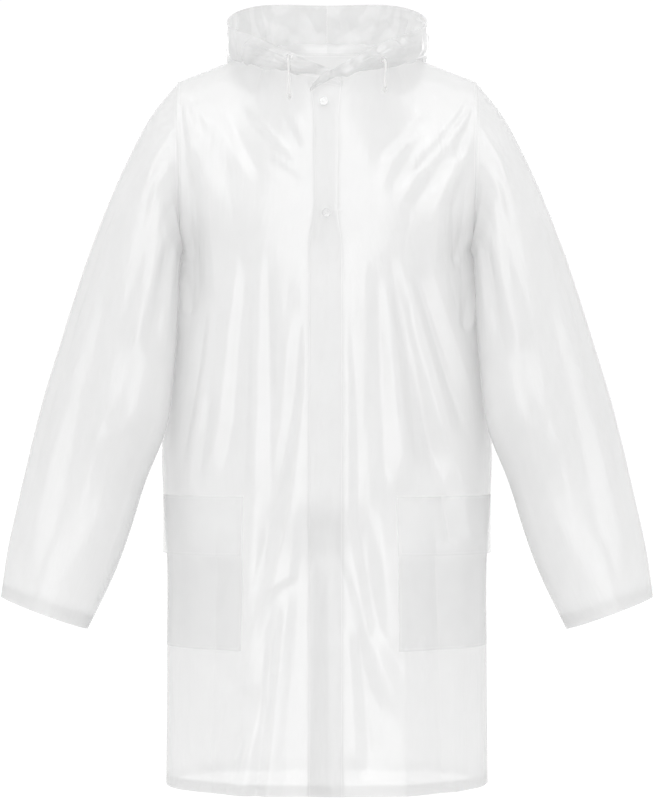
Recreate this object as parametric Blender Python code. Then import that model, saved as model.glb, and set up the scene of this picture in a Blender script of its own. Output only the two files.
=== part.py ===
"""Adult raincoat in frosted clear vinyl, worn: a hollow coat holding the form of an absent wearer.

X runs to the wearer's left, Y to the back and Z up. The origin is the middle of the neck opening,
level with the shoulders. Every panel is a grid of points worked out from the tables below, laid on
one another edge to edge and then given the cloth's thickness.
"""

import math
from collections import namedtuple

import bmesh
import bpy
import numpy as np
from mathutils import Vector

# ---- Cloth, in metres
WALL = 0.0012
SEAM_GAP = 0.0003
LAYER_STEP = 0.0017  # from one layer's middle to the middle of the layer laid on it

# ---- Body of the coat
ARMPIT_Z = -0.264
HEM_Z = -1.020
RING_SQUARENESS = 2.3
NECK_HALF_WIDTH = 0.085
NECK_ROUNDING = (1.1, 1.4)  # powers by which the neck edge runs in depth and in height
NECK_SIDE = (0.012, 0.018)  # y and z of the shoulder seam's inner end
SHOULDER_POINT = (0.0, -0.025)  # y and z of its outer end
SHOULDER_RISE = 0.003

Ring = namedtuple("Ring", "z half_width front back")
TORSO_RINGS = (
    Ring(ARMPIT_Z, 0.206, 0.128, 0.124),
    Ring(-0.378, 0.220, 0.138, 0.128),
    Ring(-0.520, 0.2345, 0.148, 0.132),
    Ring(-0.619, 0.2315, 0.155, 0.137),
    Ring(-0.697, 0.2265, 0.158, 0.141),
    Ring(-0.832, 0.2265, 0.164, 0.146),
    Ring(HEM_Z, 0.2280, 0.170, 0.152),
)

# How far the middle of the chest and of the back stand out from the origin's plane, up to the neck
Middle = namedtuple("Middle", "z out")
FRONT_MIDDLE = (
    Middle(ARMPIT_Z, 0.128),
    Middle(-0.200, 0.126),
    Middle(-0.120, 0.120),
    Middle(-0.060, 0.110),
    Middle(-0.026, 0.099),
)
BACK_MIDDLE = (
    Middle(ARMPIT_Z, 0.124),
    Middle(-0.180, 0.124),
    Middle(-0.100, 0.117),
    Middle(-0.030, 0.100),
    Middle(0.022, 0.076),
)

# ---- Sleeves: each section's outer and inner point seen from the front, and its reach in depth
Section = namedtuple("Section", "along outer_x outer_z inner_x inner_z middle_y front back")
SLEEVE_SECTIONS = (
    Section(0.00, 0.2115, -0.025, 0.206, -0.264, 0.000, 0.080, 0.075),
    Section(0.05, 0.2440, -0.066, 0.2165, -0.271, -0.005, 0.080, 0.076),
    Section(0.14, 0.2810, -0.135, 0.2205, -0.303, -0.016, 0.077, 0.075),
    Section(0.23, 0.3100, -0.204, 0.2215, -0.345, -0.030, 0.073, 0.072),
    Section(0.32, 0.3350, -0.272, 0.2235, -0.389, -0.040, 0.069, 0.068),
    Section(0.42, 0.3570, -0.340, 0.2265, -0.434, -0.048, 0.065, 0.064),
    Section(0.52, 0.3770, -0.407, 0.2310, -0.481, -0.055, 0.061, 0.060),
    Section(0.62, 0.3970, -0.474, 0.2390, -0.530, -0.060, 0.058, 0.057),
    Section(0.72, 0.4140, -0.542, 0.2530, -0.583, -0.064, 0.055, 0.054),
    Section(0.82, 0.4310, -0.617, 0.2740, -0.656, -0.068, 0.051, 0.051),
    Section(0.92, 0.4460, -0.687, 0.3000, -0.726, -0.072, 0.048, 0.048),
    Section(1.00, 0.4550, -0.751, 0.3340, -0.796, -0.076, 0.045, 0.045),
)

# ---- Grid: columns from the middle of the coat to its side, and rows from the hem to the top
UNDERLAP = 0.0195  # how far past the middle the right front runs below the band
UNDERLAP_DROP = 0.35  # of the top row's height, by which the underlap's corner is cut down
LEFT_EDGE = UNDERLAP + 2 * SEAM_GAP  # where the left front starts
BAND_EDGES = (-0.0268, 0.0232)
BAND_TOP = 0.6  # of the top row's height, to which the band climbs
NECK_COLUMNS = 7
NECK_SHARE = 0.44  # of a row below the armpits, taken by the neck columns
SHOULDER_COLUMNS = 10
ROW_HEIGHTS = (
    HEM_Z, -0.968, -0.918, -0.870, -0.822, -0.778, -0.735, -0.692,
    -0.650, -0.610, -0.560, -0.508, -0.456, -0.404, -0.354, -0.308, ARMPIT_Z,
)
ARMHOLE_ROWS = 9
SLEEVE_ROWS = 16
SLEEVE_CROWDING = 1.15  # more than 1 sets the sleeve's rows closer towards the armhole
EDGE_SAMPLES = 80
ROW_SAMPLES = 2 * EDGE_SAMPLES  # a top row is the neck edge and then the shoulder seam

# ---- Folds: soft ridges, and troughs where the height is less than nothing, seen from front or back
Fold = namedtuple("Fold", "path width height")
FOLD_TAPER = 0.25  # of a fold's length, over which each end dies out
FRONT_FOLDS = (
    Fold(((-0.113, -0.270), (-0.141, -0.470), (-0.163, -0.580)), 0.017, 0.0075),
    Fold(((-0.084, -0.270), (-0.080, -0.470), (-0.088, -0.690)), 0.014, 0.0080),
    Fold(((-0.060, -0.300), (-0.050, -0.470), (-0.070, -0.640)), 0.012, 0.0060),
    Fold(((-0.104, -0.380), (-0.106, -0.560), (-0.106, -0.740)), 0.013, -0.0070),
    Fold(((-0.032, -0.360), (-0.037, -0.480), (-0.062, -0.580), (-0.090, -0.750)), 0.014, -0.0085),
    Fold(((0.080, -0.280), (0.090, -0.470), (0.096, -0.610), (0.086, -0.800)), 0.014, 0.0080),
    Fold(((0.094, -0.285), (0.128, -0.430), (0.176, -0.540), (0.197, -0.630)), 0.016, 0.0080),
    Fold(((0.128, -0.270), (0.170, -0.380), (0.200, -0.460)), 0.013, 0.0060),
    Fold(((0.030, -0.340), (0.038, -0.540), (0.053, -0.700), (0.100, -0.830)), 0.014, -0.0080),
    Fold(((0.110, -0.310), (0.150, -0.420), (0.190, -0.500)), 0.012, -0.0060),
    Fold(((0.062, -0.420), (0.068, -0.560), (0.072, -0.690)), 0.011, -0.0055),
    Fold(((-0.040, -0.730), (-0.040, -1.040)), 0.015, 0.0100),
    Fold(((-0.076, -0.790), (-0.100, -0.880), (-0.128, -1.040)), 0.016, -0.0100),
    Fold(((-0.105, -0.800), (-0.150, -1.040)), 0.018, 0.0070),
    Fold(((0.028, -0.740), (0.030, -0.900), (0.038, -1.040)), 0.012, 0.0080),
    Fold(((0.060, -0.760), (0.064, -0.900), (0.070, -1.040)), 0.015, -0.0085),
    Fold(((0.104, -0.860), (0.122, -1.040)), 0.018, 0.0075),
    Fold(((-0.126, -0.030), (-0.085, -0.080), (-0.040, -0.140)), 0.010, 0.0045),
    Fold(((-0.105, -0.110), (-0.070, -0.150), (-0.038, -0.170)), 0.010, -0.0040),
    Fold(((0.190, -0.060), (0.150, -0.110), (0.100, -0.190)), 0.011, 0.0050),
    Fold(((0.185, -0.130), (0.160, -0.170), (0.140, -0.215)), 0.011, -0.0050),
    Fold(((0.196, -0.170), (0.180, -0.230), (0.170, -0.290)), 0.011, 0.0045),
    Fold(((-0.196, -0.070), (-0.186, -0.130), (-0.182, -0.200)), 0.011, 0.0040),
)
BACK_FOLDS = (
    Fold(((-0.170, -0.250), (-0.176, -0.560), (-0.168, -0.900)), 0.020, 0.0070),
    Fold(((-0.128, -0.200), (-0.134, -0.620), (-0.128, -1.040)), 0.018, -0.0080),
    Fold(((-0.090, -0.260), (-0.088, -0.600), (-0.096, -1.040)), 0.018, 0.0090),
    Fold(((-0.046, -0.330), (-0.040, -0.700), (-0.050, -1.040)), 0.017, -0.0085),
    Fold(((0.000, -0.280), (0.006, -0.650), (-0.006, -1.040)), 0.018, 0.0085),
    Fold(((0.046, -0.360), (0.052, -0.700), (0.044, -1.040)), 0.017, -0.0085),
    Fold(((0.092, -0.250), (0.096, -0.560), (0.086, -1.040)), 0.018, 0.0090),
    Fold(((0.132, -0.220), (0.128, -0.640), (0.136, -1.040)), 0.018, -0.0080),
    Fold(((0.172, -0.270), (0.168, -0.600), (0.176, -0.920)), 0.020, 0.0070),
    Fold(((-0.150, -0.060), (-0.110, -0.140), (-0.080, -0.250)), 0.014, 0.0045),
    Fold(((0.150, -0.060), (0.112, -0.150), (0.078, -0.250)), 0.014, 0.0045),
)
# Sleeve folds run along the sleeve: angle is measured round it, from its top edge over the front
SleeveFold = namedtuple("SleeveFold", "start start_angle end end_angle width height")
SLEEVE_FOLDS = (
    SleeveFold(0.12, 128, 0.50, 118, 0.24, -0.0080),
    SleeveFold(0.08, 96, 0.44, 84, 0.20, 0.0050),
    SleeveFold(0.14, 48, 0.60, 40, 0.22, -0.0050),
    SleeveFold(0.50, 92, 0.98, 86, 0.34, 0.0040),
    SleeveFold(0.55, 150, 0.95, 140, 0.26, -0.0050),
    SleeveFold(0.10, 232, 0.52, 244, 0.24, -0.0070),
    SleeveFold(0.12, 276, 0.60, 268, 0.26, 0.0050),
    SleeveFold(0.52, 214, 0.96, 226, 0.26, -0.0045),
)

# ---- Hood, lying down round the neck: out from its seam to a lowest fold, then up to its rim.
# Stations go round from the throat, 0, past the shoulder seam, 0.5, to the middle of the back, 1.
Station = namedtuple(
    "Station",
    "around stand roll fold_x fold_y fold_z wall_x wall_y wall_z rim_x rim_y rim_z",
)
LEFT_THROAT = Station(
    0.00, 0.001, 0.002, 0.0120, -0.1125, -0.0290, 0.0100, -0.1145, -0.0240, 0.0080, -0.1120, -0.0190
)
RIGHT_THROAT = Station(
    0.00, 0.001, 0.001, 0.0000, -0.1060, -0.0255, -0.0020, -0.1075, -0.0220, -0.0040, -0.1060, -0.0180
)
HOOD_STATIONS = (
    Station(0.14, 0.003, 0.003, 0.043, -0.1130, -0.0240, 0.046, -0.1165, -0.0110, 0.050, -0.1080, 0.0050),
    Station(0.30, 0.008, 0.006, 0.088, -0.0900, -0.0150, 0.094, -0.0900, 0.0050, 0.094, -0.0780, 0.0280),
    Station(0.42, 0.010, 0.008, 0.126, -0.0480, -0.0010, 0.131, -0.0480, 0.0200, 0.128, -0.0400, 0.0440),
    Station(0.50, 0.010, 0.009, 0.1400, 0.0100, 0.0125, 0.1430, 0.0080, 0.0320, 0.1420, 0.0040, 0.0570),
    Station(0.62, 0.010, 0.009, 0.1350, 0.0800, -0.0200, 0.1420, 0.0760, 0.0300, 0.1350, 0.0560, 0.0780),
    Station(0.78, 0.010, 0.010, 0.0900, 0.1420, -0.1080, 0.1040, 0.1480, 0.0100, 0.0960, 0.1050, 0.0960),
    Station(1.00, 0.010, 0.010, 0.0003, 0.1580, -0.1650, 0.0003, 0.1880, -0.0250, 0.0003, 0.1360, 0.1000),
)
HOOD_ROWS = 14
HOOD_OUTER_ROW = 9  # from here up the hood's rows climb its outer wall
HOOD_FRONT_COLUMNS = 9  # from the throat to the shoulder seam
# The left half's front corner laps over the band: two more columns, seam, fold and rim
Corner = namedtuple("Corner", "seam fold rim")
HOOD_CORNER = (
    Corner((-0.0230, -0.1140, -0.0500), (-0.0235, -0.1155, -0.0450), (-0.0200, -0.1150, -0.0400)),
    Corner((-0.0050, -0.1130, -0.0385), (-0.0050, -0.1175, -0.0330), (-0.0040, -0.1170, -0.0240)),
)

# ---- Pockets, by the rows and columns of the fronts that they cover
POCKET_ROWS = (4, 9)
FLAP_ROWS = (7, 9)
POCKET_COLUMNS = {"right": (1, 12), "left": (25, 37)}
FLAP_FLARE = 0.0040

# ---- Trims
SNAP_HEIGHTS = (-0.0640, -0.2190, -0.4180, -0.6129)
SNAP_X = (-0.0045, -0.0010, -0.0060, -0.0010)
SNAP_RADIUS = 0.0062
SNAP_THICKNESS = 0.0024
EYELET_RADIUS = 0.0048
EYELET_HOLE = 0.0027
EYELET_THICKNESS = 0.0012
CORD_DIAMETER = 0.0030
CORD_SIDES = 8
KNOT_RADIUS = 0.0034
CORD_ROUTES = {
    "cord_left": (
        (0.0772, -0.1037, -0.0050), (0.0778, -0.1047, -0.0050), (0.0797, -0.1076, -0.0057),
        (0.0808, -0.1093, -0.0083), (0.0812, -0.1100, -0.0118), (0.0812, -0.1101, -0.0180),
        (0.0808, -0.1099, -0.0265), (0.0803, -0.1097, -0.0350), (0.0800, -0.1095, -0.0440),
    ),
    "cord_right": (
        (-0.0523, -0.1138, -0.0024), (-0.0524, -0.1150, -0.0018), (-0.0529, -0.1183, -0.0013),
        (-0.0533, -0.1214, -0.0036), (-0.0535, -0.1231, -0.0080), (-0.0532, -0.1233, -0.0150),
        (-0.0527, -0.1230, -0.0250), (-0.0522, -0.1226, -0.0360), (-0.0519, -0.1221, -0.0460),
        (-0.0519, -0.1217, -0.0540),
    ),
}

# ---- Finishes
Finish = namedtuple("Finish", "colour roughness metallic alpha")
VINYL = Finish((0.86, 0.87, 0.88), 0.28, 0.0, 0.55)
SNAP_PLASTIC = Finish((0.90, 0.90, 0.90), 0.30, 0.0, 1.0)
CORD_WHITE = Finish((0.84, 0.84, 0.84), 0.75, 0.0, 1.0)

coat = bpy.data.collections.new("raincoat")


# ---- Curves and tables
def follow(table, key, column, at):
    """A column of a table read at any values of its key column, on a smooth curve through its rows."""
    places = np.array([getattr(row, key) for row in table])
    values = np.array([getattr(row, column) for row in table])
    if places[0] > places[-1]:
        places, values = places[::-1], values[::-1]
    slopes = np.gradient(values, places)
    at = np.clip(np.asarray(at, float), places[0], places[-1])
    low = np.clip(np.searchsorted(places, at) - 1, 0, len(places) - 2)
    span = places[low + 1] - places[low]
    t = (at - places[low]) / span
    start = (2 * t**3 - 3 * t**2 + 1) * values[low] + (t**3 - 2 * t**2 + t) * span * slopes[low]
    end = (3 * t**2 - 2 * t**3) * values[low + 1] + (t**3 - t**2) * span * slopes[low + 1]
    return start + end


def smooth_step(t):
    t = np.clip(t, 0.0, 1.0)
    return t * t * (3 - 2 * t)


def lengths_along(points):
    steps = np.linalg.norm(np.diff(points, axis=0), axis=1)
    return np.concatenate([[0.0], np.cumsum(steps)])


def at_lengths(points, lengths):
    along = lengths_along(points)
    return np.stack([np.interp(lengths, along, points[:, axis]) for axis in range(3)], axis=1)


def curve_through(points, count):
    """Evenly spaced points on a smooth curve through the given ones."""
    points = np.asarray(points, float)
    knots = np.arange(len(points))
    slopes = np.gradient(points, axis=0)
    t = np.linspace(0, len(points) - 1, 12 * len(points))
    low = np.clip(t.astype(int), 0, len(points) - 2)
    f = (t - knots[low])[:, None]
    curve = (2 * f**3 - 3 * f**2 + 1) * points[low] + (f**3 - 2 * f**2 + f) * slopes[low]
    curve += (3 * f**2 - 2 * f**3) * points[low + 1] + (f**3 - f**2) * slopes[low + 1]
    return at_lengths(curve, np.linspace(0, lengths_along(curve)[-1], count))


# ---- The coat's body, as rows of points from the middle of the front or back to the left side
def ring_quarter(z, side):
    """Half of the front or back of one ring below the armpits."""
    turn = np.linspace(0, math.pi / 2, ROW_SAMPLES)
    half_width = follow(TORSO_RINGS, "z", "half_width", z)
    depth = follow(TORSO_RINGS, "z", side, z)
    sign = -1 if side == "front" else 1
    x = half_width * np.sin(turn) ** (2 / RING_SQUARENESS)
    y = sign * depth * np.cos(turn) ** (2 / RING_SQUARENESS)
    return np.stack([x, y, np.full_like(x, z)], axis=1)


def neck_quarter(side):
    """The neck edge from the middle of the front or back to the shoulder seam."""
    turn = np.linspace(0, math.pi / 2, EDGE_SAMPLES)
    table, sign = (FRONT_MIDDLE, -1) if side == "front" else (BACK_MIDDLE, 1)
    end = table[-1]
    y = NECK_SIDE[0] + (sign * end.out - NECK_SIDE[0]) * np.cos(turn) ** NECK_ROUNDING[0]
    z = NECK_SIDE[1] + (end.z - NECK_SIDE[1]) * np.cos(turn) ** NECK_ROUNDING[1]
    return np.stack([NECK_HALF_WIDTH * np.sin(turn), y, z], axis=1)


def shoulder_seam():
    t = np.linspace(0, 1, EDGE_SAMPLES)
    start = np.array([NECK_HALF_WIDTH, *NECK_SIDE])
    end = np.array([SLEEVE_SECTIONS[0].outer_x, *SHOULDER_POINT])
    seam = start + (end - start) * t[:, None]
    seam[:, 2] += SHOULDER_RISE * np.sin(math.pi * t)
    return seam


def sleeve_ring(along, angles):
    """Points round the left sleeve at one place along it, by their angles from its top edge."""
    def value(column):
        return follow(SLEEVE_SECTIONS, "along", column, along)

    top = np.array([value("outer_x"), value("middle_y"), value("outer_z")])
    bottom = np.array([value("inner_x"), value("middle_y"), value("inner_z")])
    middle, reach = (top + bottom) / 2, (top - bottom) / 2
    points = middle + reach * np.cos(angles)[:, None]
    depth = np.where(np.sin(angles) > 0, value("front"), value("back"))
    points[:, 1] -= depth * np.sin(angles)
    return points


def armhole(side, share):
    """A point of the armhole edge, from the armpit, 0, up to the shoulder, 1."""
    angle = math.pi * (1 - share)
    return sleeve_ring(0.0, np.array([angle if side == "front" else -angle]))[0]


def upper_row(side, share):
    """One row between the armpits, 0, and the neck and shoulder seam, 1."""
    table, sign = (FRONT_MIDDLE, -1) if side == "front" else (BACK_MIDDLE, 1)
    lift = smooth_step(share)
    bottom = ring_quarter(ARMPIT_Z, side)
    bottom = at_lengths(bottom, np.linspace(0, lengths_along(bottom)[-1], ROW_SAMPLES))
    top = np.concatenate([neck_quarter(side), shoulder_seam()])
    z = ARMPIT_Z + (table[-1].z - ARMPIT_Z) * share
    middle = np.array([0.0, sign * float(follow(table, "z", "out", z)), z])
    edge = armhole(side, share)
    across = np.linspace(0, 1, ROW_SAMPLES)[:, None]
    rows = (1 - lift) * bottom + lift * top + (1 - across) * middle + across * edge
    first = (1 - lift) * bottom[0] + lift * top[0]
    last = (1 - lift) * bottom[-1] + lift * top[-1]
    return rows - (1 - across) * first - across * last


def row_points(side, share, z, offsets):
    """One row of a panel at its columns. Offsets are the first columns' distances from the middle."""
    curve = ring_quarter(z, side) if share <= 0 else upper_row(side, share)
    total = lengths_along(curve)[-1]
    neck = lengths_along(neck_quarter(side))[-1]
    even = offsets[-1] + (total - offsets[-1]) * NECK_SHARE
    corner = even + (neck - even) * smooth_step(share)
    neck_part = np.linspace(offsets[-1], corner, NECK_COLUMNS + 1)[1:]
    side_part = np.linspace(corner, total, SHOULDER_COLUMNS + 1)[1:]
    return at_lengths(curve, np.concatenate([offsets, neck_part, side_part]))


def row_places():
    """Height and share of every row: a share of more than 0 is above the armpits."""
    below = [(z, 0.0) for z in ROW_HEIGHTS]
    above = [(ARMPIT_Z, (k + 1) / ARMHOLE_ROWS) for k in range(ARMHOLE_ROWS)]
    return below + above


def half_panel(side, offsets):
    return np.array([row_points(side, share, z, offsets) for z, share in row_places()])


def mirrored(grid):
    return grid * np.array([-1.0, 1.0, 1.0])


# ---- Folds
def distance_to_path(x, z, path):
    """Distance of each point from a fold's line, and how far along it the nearest point is, 0 to 1."""
    best = np.full(x.shape, 1e9)
    where = np.zeros(x.shape)
    spans = [math.dist(a, b) for a, b in zip(path, path[1:])]
    done = 0.0
    for (ax, az), (bx, bz), span in zip(path, path[1:], spans):
        t = np.clip(((x - ax) * (bx - ax) + (z - az) * (bz - az)) / span**2, 0, 1)
        gap = np.hypot(x - ax - t * (bx - ax), z - az - t * (bz - az))
        nearer = gap < best
        best = np.where(nearer, gap, best)
        where = np.where(nearer, (done + t * span) / sum(spans), where)
        done += span
    return best, where


def fold_push(x, z, folds):
    push = np.zeros(x.shape)
    for fold in folds:
        gap, where = distance_to_path(x, z, fold.path)
        ends = smooth_step(where / FOLD_TAPER)
        if fold.path[-1][1] > HEM_Z:
            ends *= smooth_step((1 - where) / FOLD_TAPER)
        push += fold.height * ends * np.exp(-((gap / fold.width) ** 2))
    return push


def grid_normals(grid, closed=False):
    """Outward normals of a grid whose rows go up and whose columns go to the wearer's left."""
    up = np.gradient(grid, axis=0)
    if closed:
        ring = np.concatenate([grid[:, -2:-1], grid, grid[:, 1:2]], axis=1)
        across = (ring[:, 2:] - ring[:, :-2]) / 2
    else:
        across = np.gradient(grid, axis=1)
    normals = np.cross(across, up)
    return normals / np.linalg.norm(normals, axis=2, keepdims=True)


def fade_to_edges(rows, columns):
    """1 inside a front or back, and 0 at its top, its side seams and its armholes."""
    row = np.arange(rows)[:, None]
    column = np.arange(columns)[None, :]
    reach = np.where(row < len(ROW_HEIGHTS) - 3, 2.5, 5.0)  # in columns, wider by the armholes
    return (
        smooth_step((rows - 1 - row) / 3.0)
        * smooth_step(column / reach)
        * smooth_step((columns - 1 - column) / reach)
    )


def draped(grid, folds, outward):
    push = fold_push(grid[..., 0], grid[..., 2], folds) * fade_to_edges(*grid.shape[:2])
    return grid + grid_normals(grid) * (outward * push)[..., None]


# ---- Walls
def ease_edge(grid, normals, edge, by):
    """Draws one edge of a grid back from its seam, square to the seam and within the cloth."""
    pairs = {"top": (np.s_[-1], np.s_[-2]), "bottom": (np.s_[0], np.s_[1]),
             "left": (np.s_[:, 0], np.s_[:, 1]), "right": (np.s_[:, -1], np.s_[:, -2])}
    outer, inner = pairs[edge]
    inwards = np.cross(normals[outer], np.gradient(grid[outer], axis=0))
    inwards /= np.linalg.norm(inwards, axis=-1, keepdims=True)
    if (inwards * (grid[inner] - grid[outer])).sum() < 0:
        inwards = -inwards
    grid[outer] += inwards * by


def material(name, finish):
    made = bpy.data.materials.get(name) or bpy.data.materials.new(name)
    made.use_nodes = True
    shader = made.node_tree.nodes["Principled BSDF"]
    shader.inputs["Base Color"].default_value = (*finish.colour, 1.0)
    shader.inputs["Roughness"].default_value = finish.roughness
    shader.inputs["Metallic"].default_value = finish.metallic
    shader.inputs["Alpha"].default_value = finish.alpha
    return made


def keep(name, bm, finish):
    mesh = bpy.data.meshes.new(name)
    bm.to_mesh(mesh)
    bm.free()
    mesh.materials.append(material(f"{name} finish", finish))
    mesh.shade_smooth()
    made = bpy.data.objects.new(name, mesh)
    coat.objects.link(made)
    made.data.set_sharp_from_angle(angle=math.radians(50))
    return made


def cloth_wall(name, grid, normals, closed=False):
    """Lays a grid of faces through the points, then extrudes it into a wall of even thickness."""
    rows, columns = grid.shape[:2]
    bm = bmesh.new()
    bmesh.ops.create_grid(bm, x_segments=columns - 1, y_segments=rows - 1, size=1.0)
    row_of = bm.verts.layers.int.new("row")
    column_of = bm.verts.layers.int.new("column")
    for vert in bm.verts:
        vert[row_of] = round((vert.co.y + 1) / 2 * (rows - 1))
        vert[column_of] = round((vert.co.x + 1) / 2 * (columns - 1))
    for vert in bm.verts:
        vert.co = grid[vert[row_of], vert[column_of]]
    if closed:
        bmesh.ops.remove_doubles(bm, verts=bm.verts, dist=1e-6)
    lifted = bmesh.ops.extrude_face_region(bm, geom=bm.faces[:])
    outside = {item for item in lifted["geom"] if isinstance(item, bmesh.types.BMVert)}
    for vert in bm.verts:
        place = vert[row_of], vert[column_of]
        sign = 0.5 if vert in outside else -0.5
        vert.co = grid[place] + normals[place] * WALL * sign
    for face in [face for face in bm.faces if 0 < len(outside.intersection(face.verts)) < 4]:
        low = min((vert for vert in face.verts if vert not in outside), key=lambda vert: vert.co.z)
        near = {end for edge in low.link_edges for end in edge.verts}
        far = next(vert for vert in face.verts if vert not in near)
        bmesh.utils.face_split(face, low, far)  # the same way on both sides of a seam
    bmesh.ops.recalc_face_normals(bm, faces=bm.faces)
    if bm.calc_volume(signed=True) < 0:
        bmesh.ops.reverse_faces(bm, faces=bm.faces)
    return keep(name, bm, VINYL)


def shared_normals(panels):
    """Gives points that panels share one normal, so that their walls meet in a mitre."""
    total = {}
    for grid, normals in panels:
        for point, normal in zip(grid.reshape(-1, 3), normals.reshape(-1, 3)):
            key = tuple(np.round(point, 6))
            total[key] = total.get(key, 0) + normal
    met = []
    for grid, _ in panels:
        flat = np.array([total[tuple(np.round(point, 6))] for point in grid.reshape(-1, 3)])
        flat /= np.linalg.norm(flat, axis=1, keepdims=True)
        met.append(flat.reshape(grid.shape))
    return met


# ---- Hood
def hood_profile(station, seam, count):
    """Points of the hood from its seam, over its roll and lowest fold, to its rim."""
    fold = np.array([station.fold_x, station.fold_y, station.fold_z])
    wall = np.array([station.wall_x, station.wall_y, station.wall_z])
    rim = np.array([station.rim_x, station.rim_y, station.rim_z])
    out = fold - seam
    out[2] = 0.0
    out /= np.linalg.norm(out)
    stand = seam + np.array([0.0, 0.0, station.stand]) + out * station.roll * 0.2
    roll = seam + np.array([0.0, 0.0, station.stand * 0.9]) + out * station.roll * 1.5
    return curve_through([seam, stand, roll, (roll + fold) / 2 + out * 0.001, fold, wall, rim], count)


def hood_half(throat, front_edge, back_edge):
    """Columns go round from the throat to the middle of the back, and rows from the seam to the rim."""
    stations = (throat, *HOOD_STATIONS)
    places = [lengths_along(edge) / lengths_along(edge)[-1] / 2 for edge in (front_edge, back_edge)]
    seam_points = np.concatenate([front_edge, back_edge[1:]])
    seam_places = np.concatenate([places[0], 0.5 + places[1][1:]])
    columns = []
    for seam, around in zip(seam_points, seam_places):
        values = [float(follow(stations, "around", name, around)) for name in Station._fields]
        columns.append(hood_profile(Station(*values), seam, HOOD_ROWS + 1))
    return np.stack(columns, axis=1)


def corner_column(corner):
    points = [corner.seam, corner.fold, corner.rim]
    return curve_through(points, HOOD_ROWS + 1)


# ---- Trims
def turned_cap(name, centre, normal, radius, thickness, finish, hole=0.0):
    """A low round cap, or a ring where it has a hole, turned from its profile about its own axis."""
    bm = bmesh.new()
    rounded = [(radius, 0.0), (radius, 0.45 * thickness), (0.8 * radius, 0.85 * thickness)]
    if hole:
        profile = rounded + [(hole * 1.2, 0.85 * thickness), (hole, 0.45 * thickness), (hole, 0.0)]
    else:
        profile = rounded + [(0.0, thickness)]
    verts = [bm.verts.new((r, 0.0, h)) for r, h in profile]
    if hole:
        ends = [*verts, verts[0]]
    else:
        ends = [bm.verts.new((0.0, 0.0, 0.0)), *verts]
    edges = [bm.edges.new(pair) for pair in zip(ends, ends[1:])]
    bmesh.ops.spin(bm, geom=verts + edges, cent=(0, 0, 0), axis=(0, 0, 1),
                   angle=math.tau, steps=14, use_merge=False)
    bmesh.ops.remove_doubles(bm, verts=bm.verts, dist=1e-6)
    bmesh.ops.recalc_face_normals(bm, faces=bm.faces)
    made = keep(name, bm, finish)
    z_axis = np.asarray(normal) / np.linalg.norm(normal)
    made.rotation_mode = "QUATERNION"
    made.rotation_quaternion = Vector(z_axis).to_track_quat("Z", "Y")
    made.location = centre
    return made


def cord(name, route):
    """A limp cord along its route, and the knot on its end."""
    length = lengths_along(curve_through(route, 40))[-1]
    points = curve_through(route, max(8, round(length / (2.2 * CORD_DIAMETER))))
    curve = bpy.data.curves.new(name, "CURVE")
    curve.dimensions = "3D"
    curve.bevel_depth = CORD_DIAMETER / 2
    curve.bevel_resolution = 2
    curve.use_fill_caps = True
    spline = curve.splines.new("POLY")
    spline.points.add(len(points) - 1)
    for spot, point in zip(spline.points, points):
        spot.co = (*point, 1.0)
    curve.materials.append(material(f"{name} finish", CORD_WHITE))
    coat.objects.link(bpy.data.objects.new(name, curve))
    bm = bmesh.new()
    bmesh.ops.create_uvsphere(bm, u_segments=10, v_segments=7, radius=KNOT_RADIUS)
    for vert in bm.verts:
        vert.co.z *= 1.3
    knot = keep(name.replace("cord", "knot"), bm, CORD_WHITE)
    knot.location = points[-1] - np.array([0.0, 0.0, KNOT_RADIUS * 1.3 + SEAM_GAP])


def across(grid, x, axis):
    """One coordinate of every row of a grid, where the row passes x."""
    return np.array([np.interp(x, row[:, 0], row[:, axis]) for row in grid])


def on_grid(grid, x, z):
    """The point of a grid at one x and z, where its columns go to the left and its rows climb."""
    y = np.interp(z, across(grid, x, 2), across(grid, x, 1))
    return np.array([x, y, z])


def seat_on(grid, x, z, radius):
    """Middle and direction of a flat round seat that just clears a grid."""
    turns = [math.radians(45 * step) for step in range(8)]
    rim = [on_grid(grid, x + radius * math.cos(turn), z + radius * math.sin(turn)) for turn in turns]
    normal = np.cross(rim[0] - rim[4], rim[2] - rim[6])
    normal /= np.linalg.norm(normal)
    middle = on_grid(grid, x, z)
    proud = max(float(np.dot(point - middle, normal)) for point in (middle, *rim))
    return middle + normal * proud, normal


# ---- The panels
def sleeve_grid(armhole_ring):
    """Rows go from the armhole to the cuff, and columns round from the top edge over the front."""
    angles = np.linspace(0, 2 * math.pi, 2 * ARMHOLE_ROWS + 1)
    alongs = np.linspace(0, 1, SLEEVE_ROWS + 1) ** SLEEVE_CROWDING
    grid = np.array([sleeve_ring(along, angles) for along in alongs])
    grid[0] = armhole_ring
    push = np.zeros(grid.shape[:2])
    for fold in SLEEVE_FOLDS:
        place = (alongs - fold.start) / (fold.end - fold.start)
        turn = fold.start_angle + (fold.end_angle - fold.start_angle) * np.clip(place, 0, 1)
        ends = smooth_step(place / FOLD_TAPER) * smooth_step((1 - place) / FOLD_TAPER)
        gap = angles[None, :] - np.radians(turn)[:, None]
        push += fold.height * ends[:, None] * np.exp(-((gap / fold.width) ** 2))
    grid += grid_normals(grid, closed=True) * push[..., None]
    grid[:, -1] = grid[:, 0]
    return grid


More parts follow.
